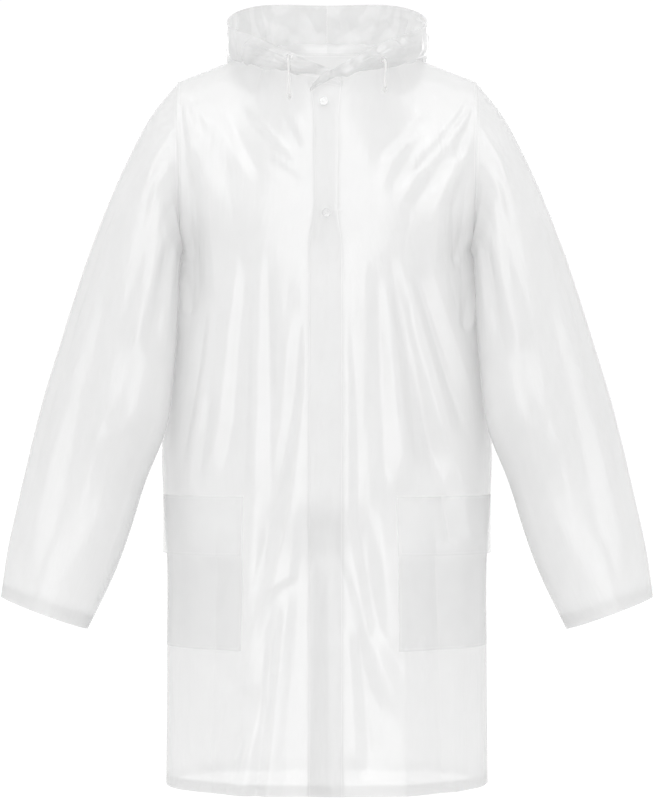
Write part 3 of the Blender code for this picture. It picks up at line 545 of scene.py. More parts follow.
# Folds are strips of film that turn. A row is how far one turns to the front, or from it where minus,
# then its width at its first and its last end, and its path as (x, z)
folds = {
    "backOff": 0.35,  # slope, for that of the strip, of the film that leads back beside it
    "taper": 0.22,
    "calm": (1.4, 2.0),  # plain columns and rows over which the folds die away at the seams
    "front": (
        (0.48, 0.011, 0.019, (-0.116, -0.270), (-0.130, -0.380), (-0.141, -0.505), (-0.162, -0.610)),
        (-0.30, 0.007, 0.012, (-0.104, -0.375), (-0.106, -0.475), (-0.110, -0.625)),
        (0.36, 0.009, 0.024, (-0.087, -0.255), (-0.086, -0.475), (-0.090, -0.650)),
        (-0.34, 0.011, 0.012, (-0.076, -0.290), (-0.073, -0.480)),
        (0.26, 0.013, 0.019, (-0.040, -0.340), (-0.056, -0.520), (-0.071, -0.600)),
        (-0.46, 0.006, 0.030, (-0.032, -0.350), (-0.037, -0.465), (-0.058, -0.610), (-0.090, -0.750),
         (-0.106, -0.830)),
        (-0.32, 0.007, 0.009, (-0.163, -0.335), (-0.175, -0.435), (-0.200, -0.575)),
        (0.50, 0.009, 0.011, (-0.164, -0.450), (-0.189, -0.605)),
        (-0.46, 0.006, 0.019, (0.028, -0.330), (0.034, -0.475), (0.035, -0.645), (0.062, -0.790),
         (0.112, -0.900)),
        (-0.28, 0.014, 0.014, (0.060, -0.280), (0.065, -0.480)),
        (0.36, 0.009, 0.025, (0.077, -0.290), (0.084, -0.475), (0.095, -0.620)),
        (-0.34, 0.008, 0.050, (0.082, -0.285), (0.103, -0.380), (0.119, -0.475), (0.134, -0.615)),
        (0.52, 0.014, 0.024, (0.090, -0.262), (0.117, -0.395), (0.152, -0.520), (0.192, -0.635)),
        (-0.34, 0.010, 0.020, (0.108, -0.270), (0.145, -0.395), (0.190, -0.545)),
        (0.50, 0.015, 0.016, (0.126, -0.262), (0.156, -0.355), (0.197, -0.480)),
        (0.45, 0.008, 0.008, (0.206, -0.310), (0.197, -0.385)),
        (0.38, 0.019, 0.009, (-0.091, -0.600), (-0.091, -0.700), (-0.104, -0.815)),
        (0.32, 0.011, 0.010, (-0.038, -0.610), (-0.045, -0.720), (-0.075, -0.742), (-0.095, -0.790)),
        (-0.50, 0.012, 0.014, (-0.056, -0.725), (-0.075, -0.865), (-0.090, -1.040)),
        (0.40, 0.010, 0.012, (-0.081, -0.790), (-0.083, -0.880), (-0.108, -1.040)),
        (-0.32, 0.007, 0.007, (-0.090, -0.740), (-0.107, -0.810), (-0.110, -0.855)),
        (0.44, 0.026, 0.024, (-0.121, -0.860), (-0.131, -0.930), (-0.148, -1.005)),
        (-0.32, 0.012, 0.014, (-0.099, -0.915), (-0.120, -0.975), (-0.140, -1.040)),
        (-0.22, 0.022, 0.036, (-0.009, -0.640), (-0.008, -0.850), (-0.009, -1.040)),
        (-0.15, 0.070, 0.090, (-0.070, -0.250), (-0.074, -0.460), (-0.088, -0.700)),
        (-0.15, 0.070, 0.090, (0.072, -0.250), (0.076, -0.460), (0.090, -0.700)),
        (-0.32, 0.044, 0.052, (-0.128, -0.640), (-0.134, -0.820), (-0.138, -1.040)),
        (-0.38, 0.050, 0.056, (0.124, -0.620), (0.132, -0.820), (0.136, -1.040)),
        (0.22, 0.011, 0.019, (0.014, -0.665), (0.039, -0.755), (0.066, -0.865), (0.096, -0.930)),
        (0.32, 0.018, 0.022, (0.062, -0.610), (0.073, -0.810), (0.081, -0.850)),
        (-0.46, 0.014, 0.018, (0.036, -0.775), (0.043, -0.890), (0.050, -1.000)),
        (0.30, 0.011, 0.012, (0.126, -0.800), (0.136, -0.865)),
        (-0.28, 0.022, 0.026, (0.188, -0.820), (0.193, -1.040)),
        (0.48, 0.024, 0.022, (0.172, -0.600), (0.186, -0.685)),
        (-0.26, 0.009, 0.011, (-0.130, -0.052), (-0.080, -0.112), (-0.034, -0.158)),
        (-0.26, 0.008, 0.009, (-0.064, -0.066), (-0.048, -0.096), (-0.030, -0.132)),
        (-0.30, 0.008, 0.010, (-0.086, -0.134), (-0.058, -0.156), (-0.030, -0.176)),
        (0.24, 0.008, 0.009, (-0.102, -0.074), (-0.058, -0.126), (-0.034, -0.146)),
        (0.22, 0.012, 0.016, (-0.160, -0.062), (-0.128, -0.120), (-0.092, -0.180)),
        (-0.30, 0.016, 0.030, (-0.196, -0.110), (-0.174, -0.200), (-0.168, -0.360)),
        (0.40, 0.014, 0.018, (-0.204, -0.130), (-0.200, -0.240), (-0.202, -0.400)),
        (0.50, 0.006, 0.007, (-0.203, -0.215), (-0.192, -0.285)),
        (0.46, 0.006, 0.008, (-0.204, -0.300), (-0.196, -0.360)),
        (-0.40, 0.006, 0.007, (-0.205, -0.060), (-0.190, -0.140)),
        (0.40, 0.006, 0.008, (-0.196, -0.052), (-0.176, -0.112)),
        (-0.42, 0.005, 0.013, (0.204, -0.046), (0.176, -0.092), (0.135, -0.140), (0.110, -0.172)),
        (0.32, 0.006, 0.014, (0.204, -0.056), (0.166, -0.116), (0.126, -0.162), (0.088, -0.204)),
        (-0.42, 0.006, 0.022, (0.198, -0.082), (0.158, -0.132), (0.132, -0.170), (0.104, -0.214)),
        (0.42, 0.010, 0.016, (0.200, -0.118), (0.164, -0.174), (0.138, -0.202)),
        (-0.40, 0.005, 0.009, (0.206, -0.062), (0.188, -0.104), (0.172, -0.136)),
        (-0.32, 0.016, 0.034, (0.196, -0.120), (0.164, -0.210), (0.166, -0.310)),
        (0.40, 0.014, 0.018, (0.204, -0.150), (0.199, -0.250), (0.202, -0.380)),
        (0.50, 0.006, 0.007, (0.200, -0.236), (0.184, -0.292)),
        (0.46, 0.006, 0.008, (0.205, -0.330), (0.196, -0.385)),
        (-0.36, 0.005, 0.007, (-0.006, -0.204), (-0.013, -0.228), (-0.018, -0.262)),
        (-0.36, 0.005, 0.006, (0.002, -0.200), (0.013, -0.214), (0.026, -0.206)),
        (0.30, 0.012, 0.020, (0.142, -0.066), (0.108, -0.116), (0.066, -0.150)),
        (-0.26, 0.010, 0.012, (0.120, -0.118), (0.096, -0.154), (0.080, -0.190)),
    ),
    "back": (
        (0.42, 0.014, 0.026, (-0.160, -0.250), (-0.172, -0.500), (-0.168, -0.820)),
        (-0.34, 0.010, 0.024, (-0.128, -0.200), (-0.140, -0.480), (-0.136, -0.760)),
        (0.24, 0.012, 0.030, (-0.094, -0.230), (-0.104, -0.470), (-0.112, -1.040)),
        (-0.46, 0.008, 0.022, (-0.070, -0.290), (-0.066, -0.560), (-0.078, -0.900)),
        (-0.44, 0.008, 0.026, (-0.030, -0.260), (-0.020, -0.500), (-0.034, -0.860)),
        (-0.48, 0.010, 0.030, (0.010, -0.420), (0.012, -0.760), (0.006, -1.040)),
        (-0.46, 0.007, 0.020, (0.034, -0.250), (0.050, -0.440), (0.048, -0.700)),
        (0.22, 0.010, 0.024, (0.064, -0.230), (0.080, -0.540), (0.078, -0.860)),
        (-0.40, 0.010, 0.032, (0.090, -0.260), (0.108, -0.520), (0.104, -0.820)),
        (0.44, 0.012, 0.028, (0.112, -0.210), (0.146, -0.480), (0.152, -0.760)),
        (-0.30, 0.010, 0.018, (0.168, -0.300), (0.182, -0.520), (0.180, -0.700)),
        (0.36, 0.016, 0.026, (0.128, -0.800), (0.138, -0.920), (0.134, -1.040)),
        (-0.44, 0.014, 0.024, (0.062, -0.780), (0.076, -0.900), (0.074, -1.040)),
        (-0.40, 0.012, 0.022, (-0.050, -0.820), (-0.048, -0.930), (-0.056, -1.040)),
        (0.30, 0.014, 0.022, (-0.140, -0.820), (-0.150, -0.930), (-0.146, -1.040)),
        (-0.38, 0.006, 0.018, (-0.200, -0.050), (-0.160, -0.116), (-0.106, -0.196)),
        (0.34, 0.006, 0.016, (-0.204, -0.086), (-0.166, -0.154), (-0.130, -0.226)),
        (-0.36, 0.007, 0.014, (-0.204, -0.140), (-0.176, -0.204), (-0.150, -0.276)),
        (-0.38, 0.006, 0.016, (0.202, -0.046), (0.154, -0.108), (0.112, -0.176)),
        (0.34, 0.006, 0.018, (0.204, -0.080), (0.172, -0.140), (0.124, -0.220)),
        (-0.36, 0.007, 0.014, (0.206, -0.150), (0.180, -0.214), (0.160, -0.290)),
        (-0.30, 0.010, 0.014, (-0.070, -0.060), (-0.056, -0.130), (-0.060, -0.210)),
        (-0.30, 0.010, 0.012, (0.058, -0.050), (0.052, -0.110), (0.040, -0.180)),
    ),
}


# how far a strip lies off the wall, at signed gaps from its middle line
def turnedStrip(gap, width, turn):
    half = width / 2
    beside = np.clip((np.abs(gap) - half) * folds["backOff"], 0, half)
    return turn * (np.clip(gap, -half, half) - np.sign(gap) * beside)


def pushOf(x, z, rows):
    push = np.zeros(x.shape)
    for turn, first, last, *path in rows:
        best, where, signed = np.full(x.shape, 1e9), np.zeros(x.shape), np.zeros(x.shape)
        spans = [math.dist(a, b) for a, b in zip(path, path[1:])]
        done = 0.0
        for (ax, az), (bx, bz), span in zip(path, path[1:], spans):
            t = np.clip(((x - ax) * (bx - ax) + (z - az) * (bz - az)) / span**2, 0, 1)
            gap = np.hypot(x - ax - t * (bx - ax), z - az - t * (bz - az))
            nearer = gap < best
            best = np.where(nearer, gap, best)
            side = np.sign((x - ax) * (az - bz) + (z - az) * (bx - ax))
            signed = np.where(nearer, gap * side, signed)
            where = np.where(nearer, (done + t * span) / sum(spans), where)
            done += span
        ends = smoothStep(where / folds["taper"])
        if path[-1][1] > body["hem"]:
            ends = ends * smoothStep((1 - where) / folds["taper"])
        outer = math.copysign(1.0, sum(point[0] for point in path))
        push += ends * turnedStrip(signed, first + (last - first) * where, turn * outer)
    return push


def fadeToEdges(rows, count, sides, top):
    row = np.arange(rows)[:, None]
    column = np.arange(count)[None, :] / fine["across"]
    return (
        smoothStep((rows - 1 - row) / (top * fine["up"]))
        * smoothStep(column / sides)
        * smoothStep(((count - 1) / fine["across"] - column) / sides)
    )


# each row is evened out with the rows beside it, as many times as told
def evenedOut(grid, times):
    soft = grid.copy()
    for _ in range(times):
        soft[1:-1] = (soft[:-2] + 2 * soft[1:-1] + soft[2:]) / 4
    return soft


# evens out the turn that the cloth makes where the chest meets the body, away from its edges
def eased(grid):
    fade = fadeToEdges(*grid.shape[:2], *body["easingCalm"])
    rows = (len(body["rows"]) - 1) * fine["down"]
    soft = evenedOut(grid, body["easing"])
    near = np.exp(-(((np.arange(len(grid)) - rows) / body["easedRows"]) ** 2))[:, None]
    grid = grid + (soft - grid) * (near * fade)[..., None]
    soft = evenedOut(grid.transpose(1, 0, 2), body["neckEasing"]).transpose(1, 0, 2)
    above = smoothStep((np.arange(len(grid)) - rows) / (2.0 * fine["up"]))[:, None]
    return grid + (soft - grid) * (above * fade)[..., None]


def draped(grid, side, outward):
    grid = eased(grid)
    push = pushOf(grid[..., 0], grid[..., 2], folds[side])
    push *= fadeToEdges(*grid.shape[:2], *folds["calm"])
    return grid + gridNormals(grid) * (outward * push)[..., None]


# Film: a sheet through a grid of points, with its cut laid out in metres as its UV map
def distanceFromEdges(grid, edges):
    across = np.zeros(grid.shape[:2])
    across[:, 1:] = np.cumsum(np.linalg.norm(np.diff(grid, axis=1), axis=2), axis=1)
    down = np.zeros(grid.shape[:2])
    down[1:] = np.cumsum(np.linalg.norm(np.diff(grid, axis=0), axis=2), axis=0)
    middle = across - across[:, grid.shape[1] // 2][:, None]
    gaps = {
        "left": across,
        "right": across[:, -1:] - across,
        "bottom": down,
        "top": down[-1:] - down,
    }
    nearest = np.full(grid.shape[:2], 1.0)
    for edge in edges:
        nearest = np.minimum(nearest, gaps[edge])
    return middle, down, nearest


def laySheet(name, grid, welds=(), closed=False, outwardFlip=False, kind="panel"):
    across, down, nearest = distanceFromEdges(grid, welds)
    rows, count = grid.shape[:2]
    index = np.arange(rows * count).reshape(rows, count)
    corners = np.stack([index[:-1, :-1], index[:-1, 1:], index[1:, 1:], index[1:, :-1]], axis=-1)
    faces = corners.reshape(-1, 4)
    if outwardFlip:
        faces = faces[:, ::-1]
    uv = np.stack([across, down], axis=-1).reshape(-1, 2)[faces.ravel()]
    used = faces
    if closed:
        weldTo = index.copy()
        weldTo[:, -1] = weldTo[:, 0]
        used = weldTo.ravel()[faces]
    mesh = bpy.data.meshes.new(name)
    mesh.from_pydata(grid.reshape(-1, 3).tolist(), [], used.tolist())
    layer = mesh.uv_layers.new(name="cut")
    layer.data.foreach_set("uv", uv.astype(np.float32).ravel())
    edge = mesh.attributes.new("fromEdge", "FLOAT", "POINT")
    edge.data.foreach_set("value", nearest.astype(np.float32).ravel())
    mesh.materials.append(filmFinishes[kind])
    made = bpy.data.objects.new(name, mesh)
    bpy.context.scene.collection.objects.link(made)
    choose(made)
    if closed:
        bpy.ops.object.mode_set(mode="EDIT")
        bpy.ops.mesh.select_all(action="SELECT")
        bpy.ops.mesh.delete_loose(use_verts=True, use_edges=True, use_faces=False)
        bpy.ops.object.mode_set(mode="OBJECT")
    wall = made.modifiers.new("film", "SOLIDIFY")
    wall.thickness = fine["film"]
    wall.offset = 0.0
    bpy.ops.object.modifier_apply(modifier=wall.name)
    bpy.ops.object.shade_smooth_by_angle(angle=math.radians(55))
    made.visible_shadow = kind not in ("hood", "flap")  # they leave what lies below in the light
    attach(made, "root")
    return made


def declare(grid, node):
    across, down, _ = distanceFromEdges(grid, ())
    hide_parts(node)


def bodyGrids():
    low, high = body["band"]
    underlap = body["underlap"]
    leftOffsets = (0.25 * underlap, 0.5 * underlap, 0.75 * underlap, underlap, underlap + 0.0006, high)
    rightOffsets = tuple(np.linspace(0.0, -low, 7))
    leftHalf = halfPanel("front", leftOffsets)
    rightHalf = halfPanel("front", rightOffsets)
    backHalf = halfPanel("back", (0.0,))
    front = np.concatenate([mirrored(rightHalf)[:, ::-1], leftHalf], axis=1)
    back = np.concatenate([mirrored(backHalf)[:, :0:-1], backHalf], axis=1)
    split = rightHalf.shape[1] + 4
    front, back = draped(front, "front", 1.0), draped(back, "back", -1.0)
    for step in range(1, 5):
        strip = front[-1 - fine["up"] :, split - 5 + step]
        rise = np.linspace(0, 1 - body["underlapDrop"] * step / 4, len(strip))[:, None]
        strip[:] = strip[0] + (strip[-1] - strip[0]) * rise
    return front, back, split


frontGrid, backGrid, frontSplit = bodyGrids()
frontOut = gridNormals(frontGrid)
backOut = -gridNormals(backGrid)
print("fronts and back worked out")


def makeBody():
    rows = body["hemRows"]
    for name, grid, out in (
        ("rightFront", frontGrid[:, :frontSplit], frontOut[:, :frontSplit]),
        ("leftFront", frontGrid[:, frontSplit:], frontOut[:, frontSplit:]),
        ("back", backGrid, backOut),
    ):
        hem = grid[:rows] - out[:rows] * body["hemIn"]
        laySheet(name + "Hem", hem, ("top",), outwardFlip=name == "back")
    right = laySheet("rightFront", frontGrid[:, :frontSplit], ("left", "right", "top"))
    declare(frontGrid[:, :frontSplit], "front_right")
    left = laySheet("leftFront", frontGrid[:, frontSplit:], ("right", "top"))
    declare(frontGrid[:, frontSplit:], "front_left")
    back = laySheet("backPanel", backGrid, ("left", "right", "top"), outwardFlip=True)
    declare(backGrid, "back")


makeBody()
print("fronts and back made")

# the sleeves' strips, by their share of the length and by degrees round from the shoulder to the front
sleeveFolds = columns(
    "turn start startAngle end endAngle startWidth endWidth",
    (-0.50, 0.08, 126, 0.44, 118, 0.010, 0.018),
    (0.44, 0.03, 146, 0.38, 138, 0.008, 0.014),
    (0.20, 0.10, 106, 0.50, 100, 0.012, 0.024),
    (0.34, 0.24, 60, 0.98, 66, 0.014, 0.024),
    (-0.18, 0.46, 134, 0.98, 124, 0.020, 0.030),
    (0.25, 0.44, 116, 0.66, 106, 0.010, 0.020),
    (-0.25, 0.16, 44, 0.88, 42, 0.008, 0.014),
    (0.40, 0.20, 52, 0.28, 44, 0.004, 0.005),
    (-0.36, 0.30, 54, 0.37, 47, 0.004, 0.005),
    (0.40, 0.38, 50, 0.47, 44, 0.005, 0.004),
    (-0.34, 0.50, 55, 0.57, 48, 0.004, 0.005),
    (0.32, 0.60, 52, 0.68, 46, 0.004, 0.004),
    (-0.30, 0.00, 62, 0.12, 70, 0.004, 0.008),
    (0.28, 0.00, 72, 0.16, 80, 0.004, 0.009),
    (-0.32, 0.00, 84, 0.18, 90, 0.004, 0.009),
    (0.26, 0.00, 98, 0.17, 100, 0.004, 0.008),
    (-0.34, 0.00, 112, 0.14, 112, 0.004, 0.008),
    (-0.30, 0.18, 104, 0.28, 109, 0.004, 0.005),
    (-0.20, 0.60, 96, 0.84, 104, 0.006, 0.010),
    (-0.20, 0.86, 74, 0.99, 78, 0.006, 0.010),
    (-0.36, 0.08, 234, 0.50, 244, 0.010, 0.020),
    (0.30, 0.24, 300, 0.96, 296, 0.014, 0.024),
    (0.22, 0.10, 256, 0.56, 258, 0.010, 0.022),
    (-0.22, 0.50, 228, 0.98, 236, 0.016, 0.026),
    (-0.28, 0.14, 316, 0.86, 318, 0.008, 0.014),
    (-0.30, 0.00, 292, 0.13, 284, 0.004, 0.009),
    (0.28, 0.00, 278, 0.17, 272, 0.004, 0.009),
    (-0.32, 0.00, 262, 0.15, 262, 0.004, 0.008),
    (-0.26, 0.58, 268, 0.86, 262, 0.006, 0.012),
)


def sleeveGrid():
    around = 2 * body["armholeRows"] * fine["up"]
    angles = np.linspace(0, 2 * math.pi, around + 1)
    alongs = np.linspace(0, 1, sleeve["rows"] + 1) ** sleeve["crowding"]
    grid = np.array([sleeveRing(along, angles) for along in alongs])
    push = np.zeros(grid.shape[:2])
    for fold in zip(*sleeveFolds.values()):
        turn, start, startAngle, end, endAngle, startWidth, endWidth = fold
        place = np.clip((alongs - start) / (end - start), 0, 1)
        ends = smoothStep(place / folds["taper"]) * smoothStep((1 - place) / folds["taper"])
        middle = np.radians(startAngle + (endAngle - startAngle) * place)
        width = startWidth + (endWidth - startWidth) * place
        gap = (angles[None, :] - middle[:, None]) * sleeve["radius"]
        facing = 90 if startAngle < 180 else 270
        outer = math.copysign(1.0, startAngle - facing)
        push += ends[:, None] * turnedStrip(gap, width[:, None], turn * outer)
    calm = smoothStep(alongs / 0.02)[:, None] * smoothStep(np.sin(angles / 2) / 0.3)[None, :]
    calm = calm * (1 - 0.8 * ((1 - np.cos(angles)) / 2) ** 8)[None, :]  # less under the arm
    grid += gridNormals(grid, closed=True) * (push * calm)[..., None]
    grid[:, -1] = grid[:, 0]
    return grid


def makeSleeves():
    grid = sleeveGrid()
    out = gridNormals(grid, closed=True)
    rows = sleeve["cuffRows"]
    for side, points, outward in (("left", grid, out), ("right", mirrored(grid), mirrored(out))):
        flip = side == "right"
        turnedIn = points[-rows:] - outward[-rows:] * sleeve["cuffIn"]
        hem = laySheet(side + "Cuff", turnedIn, ("bottom",), True, flip)
        made = laySheet(side + "Sleeve", points, ("bottom",), True, flip)
        declare(points, "sleeve_" + side)


makeSleeves()
print("sleeves made")

hood = {
    "stations": columns(
        "around stand roll foldX foldY foldZ wallX wallY wallZ rimX rimY rimZ",
        (0.14, 0.003, 0.003, 0.043, -0.1130, -0.0240, 0.046, -0.1165, -0.0110, 0.050, -0.1080, 0.0050),
        (0.30, 0.008, 0.006, 0.088, -0.0900, -0.0150, 0.094, -0.0900, 0.0050, 0.094, -0.0780, 0.0280),
        (0.42, 0.010, 0.008, 0.126, -0.0480, -0.0010, 0.131, -0.0480, 0.0200, 0.128, -0.0400, 0.0440),
        (0.50, 0.010, 0.009, 0.1400, 0.0100, 0.0125, 0.1430, 0.0080, 0.0320, 0.1420, 0.0040, 0.0570),
        (0.62, 0.010, 0.009, 0.1350, 0.0800, -0.0200, 0.1420, 0.0760, 0.0300, 0.1350, 0.0560, 0.0780),
        (0.78, 0.010, 0.010, 0.0900, 0.1420, -0.1080, 0.1040, 0.1480, 0.0100, 0.0960, 0.1050, 0.0960),
        (1.00, 0.010, 0.010, 0.0001, 0.1580, -0.1650, 0.0001, 0.1880, -0.0250, 0.0001, 0.1360, 0.1000),
    ),
    "throats": {
        "left": (0, 0.001, 0.002, 0.012, -0.1125, -0.029, 0.010, -0.1145, -0.024, 0.008, -0.112, -0.019),
        "right": (0, 0.001, 0.001, 0, -0.106, -0.0255, -0.002, -0.1075, -0.022, -0.004, -0.106, -0.018),
    },
    "corner": (
        ((-0.0230, -0.1140, -0.0500), (-0.0235, -0.1155, -0.0450), (-0.0200, -0.1150, -0.0400)),
        ((-0.0050, -0.1130, -0.0385), (-0.0050, -0.1175, -0.0330), (-0.0040, -0.1170, -0.0240)),
    ),
    "rows": 72,
    "perSide": 66,
    "calmRows": (8, 5),
    "calmColumns": 5,
    "crumples": (
        {"size": 0.050, "turns": 1.7, "slope": 0.24},
        {"size": 0.022, "turns": 1.3, "slope": 0.10},
    ),
    "spread": (0.40, 0.25),  # its half length and its height, laid flat, for the paths of its folds
    "folds": (
        (0.40, 0.010, 0.018, (0.362, 0.150), (0.344, 0.200), (0.334, 0.246)),
        (-0.40, 0.012, 0.022, (0.300, 0.140), (0.312, 0.190), (0.292, 0.244)),
        (0.36, 0.008, 0.014, (0.248, 0.150), (0.272, 0.200), (0.262, 0.242)),
        (-0.32, 0.008, 0.012, (0.212, 0.150), (0.224, 0.190), (0.216, 0.235)),
        (0.30, 0.010, 0.012, (0.160, 0.130), (0.178, 0.180), (0.172, 0.230)),
        (-0.42, 0.008, 0.016, (0.388, 0.140), (0.352, 0.172), (0.304, 0.184)),
        (0.36, 0.006, 0.012, (0.290, 0.222), (0.250, 0.202), (0.214, 0.212)),
        (-0.36, 0.008, 0.012, (0.386, 0.210), (0.330, 0.222), (0.270, 0.208)),
        (-0.44, 0.010, 0.013, (0.230, 0.240), (0.320, 0.238), (0.420, 0.239)),
        (-0.32, 0.006, 0.010, (0.020, 0.110), (0.080, 0.150), (0.150, 0.150)),
        (0.32, 0.006, 0.010, (0.040, 0.150), (0.100, 0.180), (0.164, 0.180)),
        (-0.34, 0.005, 0.008, (0.050, 0.190), (0.112, 0.212), (0.156, 0.206)),
        (0.30, 0.005, 0.008, (0.120, 0.110), (0.158, 0.140), (0.172, 0.180)),
        (-0.36, 0.012, 0.020, (0.240, 0.040), (0.252, 0.080), (0.244, 0.130)),
        (0.36, 0.012, 0.020, (0.290, 0.030), (0.302, 0.080), (0.310, 0.140)),
        (-0.36, 0.012, 0.018, (0.342, 0.040), (0.350, 0.090), (0.338, 0.150)),
        (0.32, 0.010, 0.014, (0.384, 0.050), (0.378, 0.100), (0.386, 0.150)),
    ),
}


def noiseAt(places):
    flat = [noise.noise(Vector(place)) for place in places.reshape(-1, 3)]
    return np.array(flat).reshape(places.shape[:-1])


# crumples as of film that has been folded up
def crumpled(grid, size, turns, slope):
    phase = turns * noiseAt(grid / size)
    return slope * size / 4 * (4 * np.abs(phase - np.floor(phase + 0.5)) - 1)


def hoodProfile(at, seam, count):
    fold = np.array([at["foldX"], at["foldY"], at["foldZ"]])
    wall = np.array([at["wallX"], at["wallY"], at["wallZ"]])
    rim = np.array([at["rimX"], at["rimY"], at["rimZ"]])
    out = fold - seam
    out[2] = 0.0
    out /= np.linalg.norm(out)
    stand = seam + np.array([0.0, 0.0, at["stand"]]) + out * at["roll"] * 0.2
    roll = seam + np.array([0.0, 0.0, at["stand"] * 0.9]) + out * at["roll"] * 1.5
    return curveThrough([seam, stand, roll, (roll + fold) / 2 + out * 0.001, fold, wall, rim], count)


def hoodGrid(side):
    table = {
        name: np.concatenate([[first], values])
        for first, (name, values) in zip(hood["throats"][side], hood["stations"].items())
    }
    neckEnd = body["neckColumns"] * fine["across"]
    if side == "left":
        neck = frontGrid[-1, frontSplit : frontSplit + 2 + neckEnd]
    else:
        neck = mirrored(frontGrid[-1, frontSplit - 11 - neckEnd : frontSplit - 4])[::-1]
    front = evenly(neck, hood["perSide"] + 1)
    back = evenly(neckQuarter("back")[::-1], hood["perSide"] + 1)
    seam = np.concatenate([front, back[1:]])
    places = np.linspace(0, 1, len(seam))
    profiles = []
    for point, around in zip(seam, places):
        at = {name: float(follow(table, name, around)) for name in table}
        profiles.append(hoodProfile(at, point, hood["rows"] + 1))
    grid = np.stack(profiles, axis=1)
    if side == "left":
        ends = [curveThrough(corner, hood["rows"] + 1) for corner in hood["corner"]]
        lap = curveAt([*ends, grid[:, 0], grid[:, hood["perSide"] // 9]], np.arange(0, 2, 1 / 12))
        grid = np.concatenate([lap.transpose(1, 0, 2), grid], axis=1)
    return grid


def makeHood():
    for side in ("left", "right"):
        grid = hoodGrid(side)
        if side == "right":
            grid = mirrored(grid)
        row, column = np.arange(len(grid))[:, None], np.arange(grid.shape[1])[None, :]
        fromBack = grid.shape[1] - 1 - column
        around = 1 - fromBack / (2 * hood["perSide"])
        push = sum(crumpled(grid + 0.3, **crumple) for crumple in hood["crumples"])
        push *= 1 - 0.9 * np.exp(-(((around - 0.5) / 0.10) ** 2))
        spot = np.broadcast_arrays(around * hood["spread"][0], row / hood["rows"] * hood["spread"][1])
        push += pushOf(*spot, hood["folds"])
        low, high = hood["calmRows"]
        calm = smoothStep(row / low) * smoothStep((len(grid) - 1 - row) / high)
        edge = smoothStep(fromBack / hood["calmColumns"])
        grid = grid + gridNormals(grid) * (push * calm * edge)[..., None]
        made = laySheet(side + "Hood", grid, ("bottom", "top"), False, side == "right", "hood")
        declare(grid, "hood_" + side)


makeHood()
print("hood made")

band = {"lift": 0.0008, "shorter": 2}  # the rows that it ends below the neck


def makeBand():
    low, high = frontSplit - 4 - 7, frontSplit + 2
    grid = frontGrid[:, low:high] + frontOut[:, low:high] * band["lift"]
    grid = grid[: -band["shorter"]]
    made = laySheet("snapBand", grid, ("left", "right", "top"))
    declare(grid, "placket")


makeBand()
print("snap band made")

pockets = {
    "columns": {"right": (1, 12), "left": (25, 37)},
    "rows": (4, 9),
    "flapRows": (7, 9),
    "lift": 0.0008,
    "flare": 0.0040,
}


# the fine columns of the front that match a column of the plain solids
def fineColumn(column):
    side = 18 - column
    if side >= 1:
        return frontSplit - 4 - 1 - (6 + (side - 1) * fine["across"])
    return frontSplit + 1 + (column - 21) * fine["across"]


def makePockets():
    for side, (first, last) in pockets["columns"].items():
        low, high = fineColumn(first), fineColumn(last)
        for name, rows, layer in (("Pocket", pockets["rows"], 1), ("Flap", pockets["flapRows"], 2)):
            start, end = (row * fine["down"] for row in rows)
            block = np.s_[start : end + 1, low : high + 1]
            lift = np.full(frontGrid[block].shape[:2], pockets["lift"] * layer)
            if name == "Flap":
                lift += pockets["flare"] * np.linspace(1, 0, end - start + 1)[:, None] ** 1.5
            grid = frontGrid[block] + frontOut[block] * lift[..., None]
            made = laySheet(side + name, grid, ("left", "right", "bottom", "top"), kind=name.lower())
            declare(grid, f"{name.lower()}_{side}")


makePockets()
print("pockets made")

trims = {
    "colour": (0.975, 0.975, 0.975),
    "clear": 0.34,
    "roughness": (0.14, 0.10),  # least, and what the grain adds
    "grain": 700.0,
    "relief": 0.00012,
    "snap": {"radius": 0.0062, "height": 0.0024, "rounding": 0.0005},
    "insets": ((0.30, 0.0), (0.18, -0.0006), (0.20, 0.0), (0.12, 0.00036)),  # shares of the radius, depths
    "eyelet": {"ring": 0.0037, "wire": 0.0009},
}


def plasticPaint():
    least, more = trims["roughness"]
    paint = Paint("trimPlastic", trims["colour"], least, **film["gloss"])
    place = paint.node("ShaderNodeTexCoord", None, None, "Object")
    grain = paint.noise(place, trims["grain"], 2.0)
    paint.set("Roughness", least + grain * more)
    paint.set("Alpha", trims["clear"])
    paint.set("Normal", paint.bumped(grain, trims["relief"]))
    return paint.material


# where a plain trim sits on the cloth, and which way it faces
def seatOf(node):
    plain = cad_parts[node]
    places = np.array([plain.matrix_world @ vert.co for vert in plain.data.vertices])
    middle = (places.min(0) + places.max(0)) / 2
    axis = np.linalg.svd(places - places.mean(0))[2][2]
    if axis[1] > 0:
        axis = -axis
    low = ((places - middle) @ axis).min()
    return Vector(middle + axis * low), Vector(axis)


def seated(made, name, node, finish):
    made.name = name
    made.data.name = name
    made.data.materials.clear()
    made.data.materials.append(finish)
    seat, axis = seatOf(node)
    made.matrix_world = axis.to_track_quat("Z", "Y").to_matrix().to_4x4()
    made.location = seat
    choose(made)
    bpy.ops.object.transform_apply(location=True, rotation=True, scale=True)
    bpy.ops.object.shade_smooth_by_angle(angle=math.radians(40))
    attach(made, "root")
    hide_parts(node)


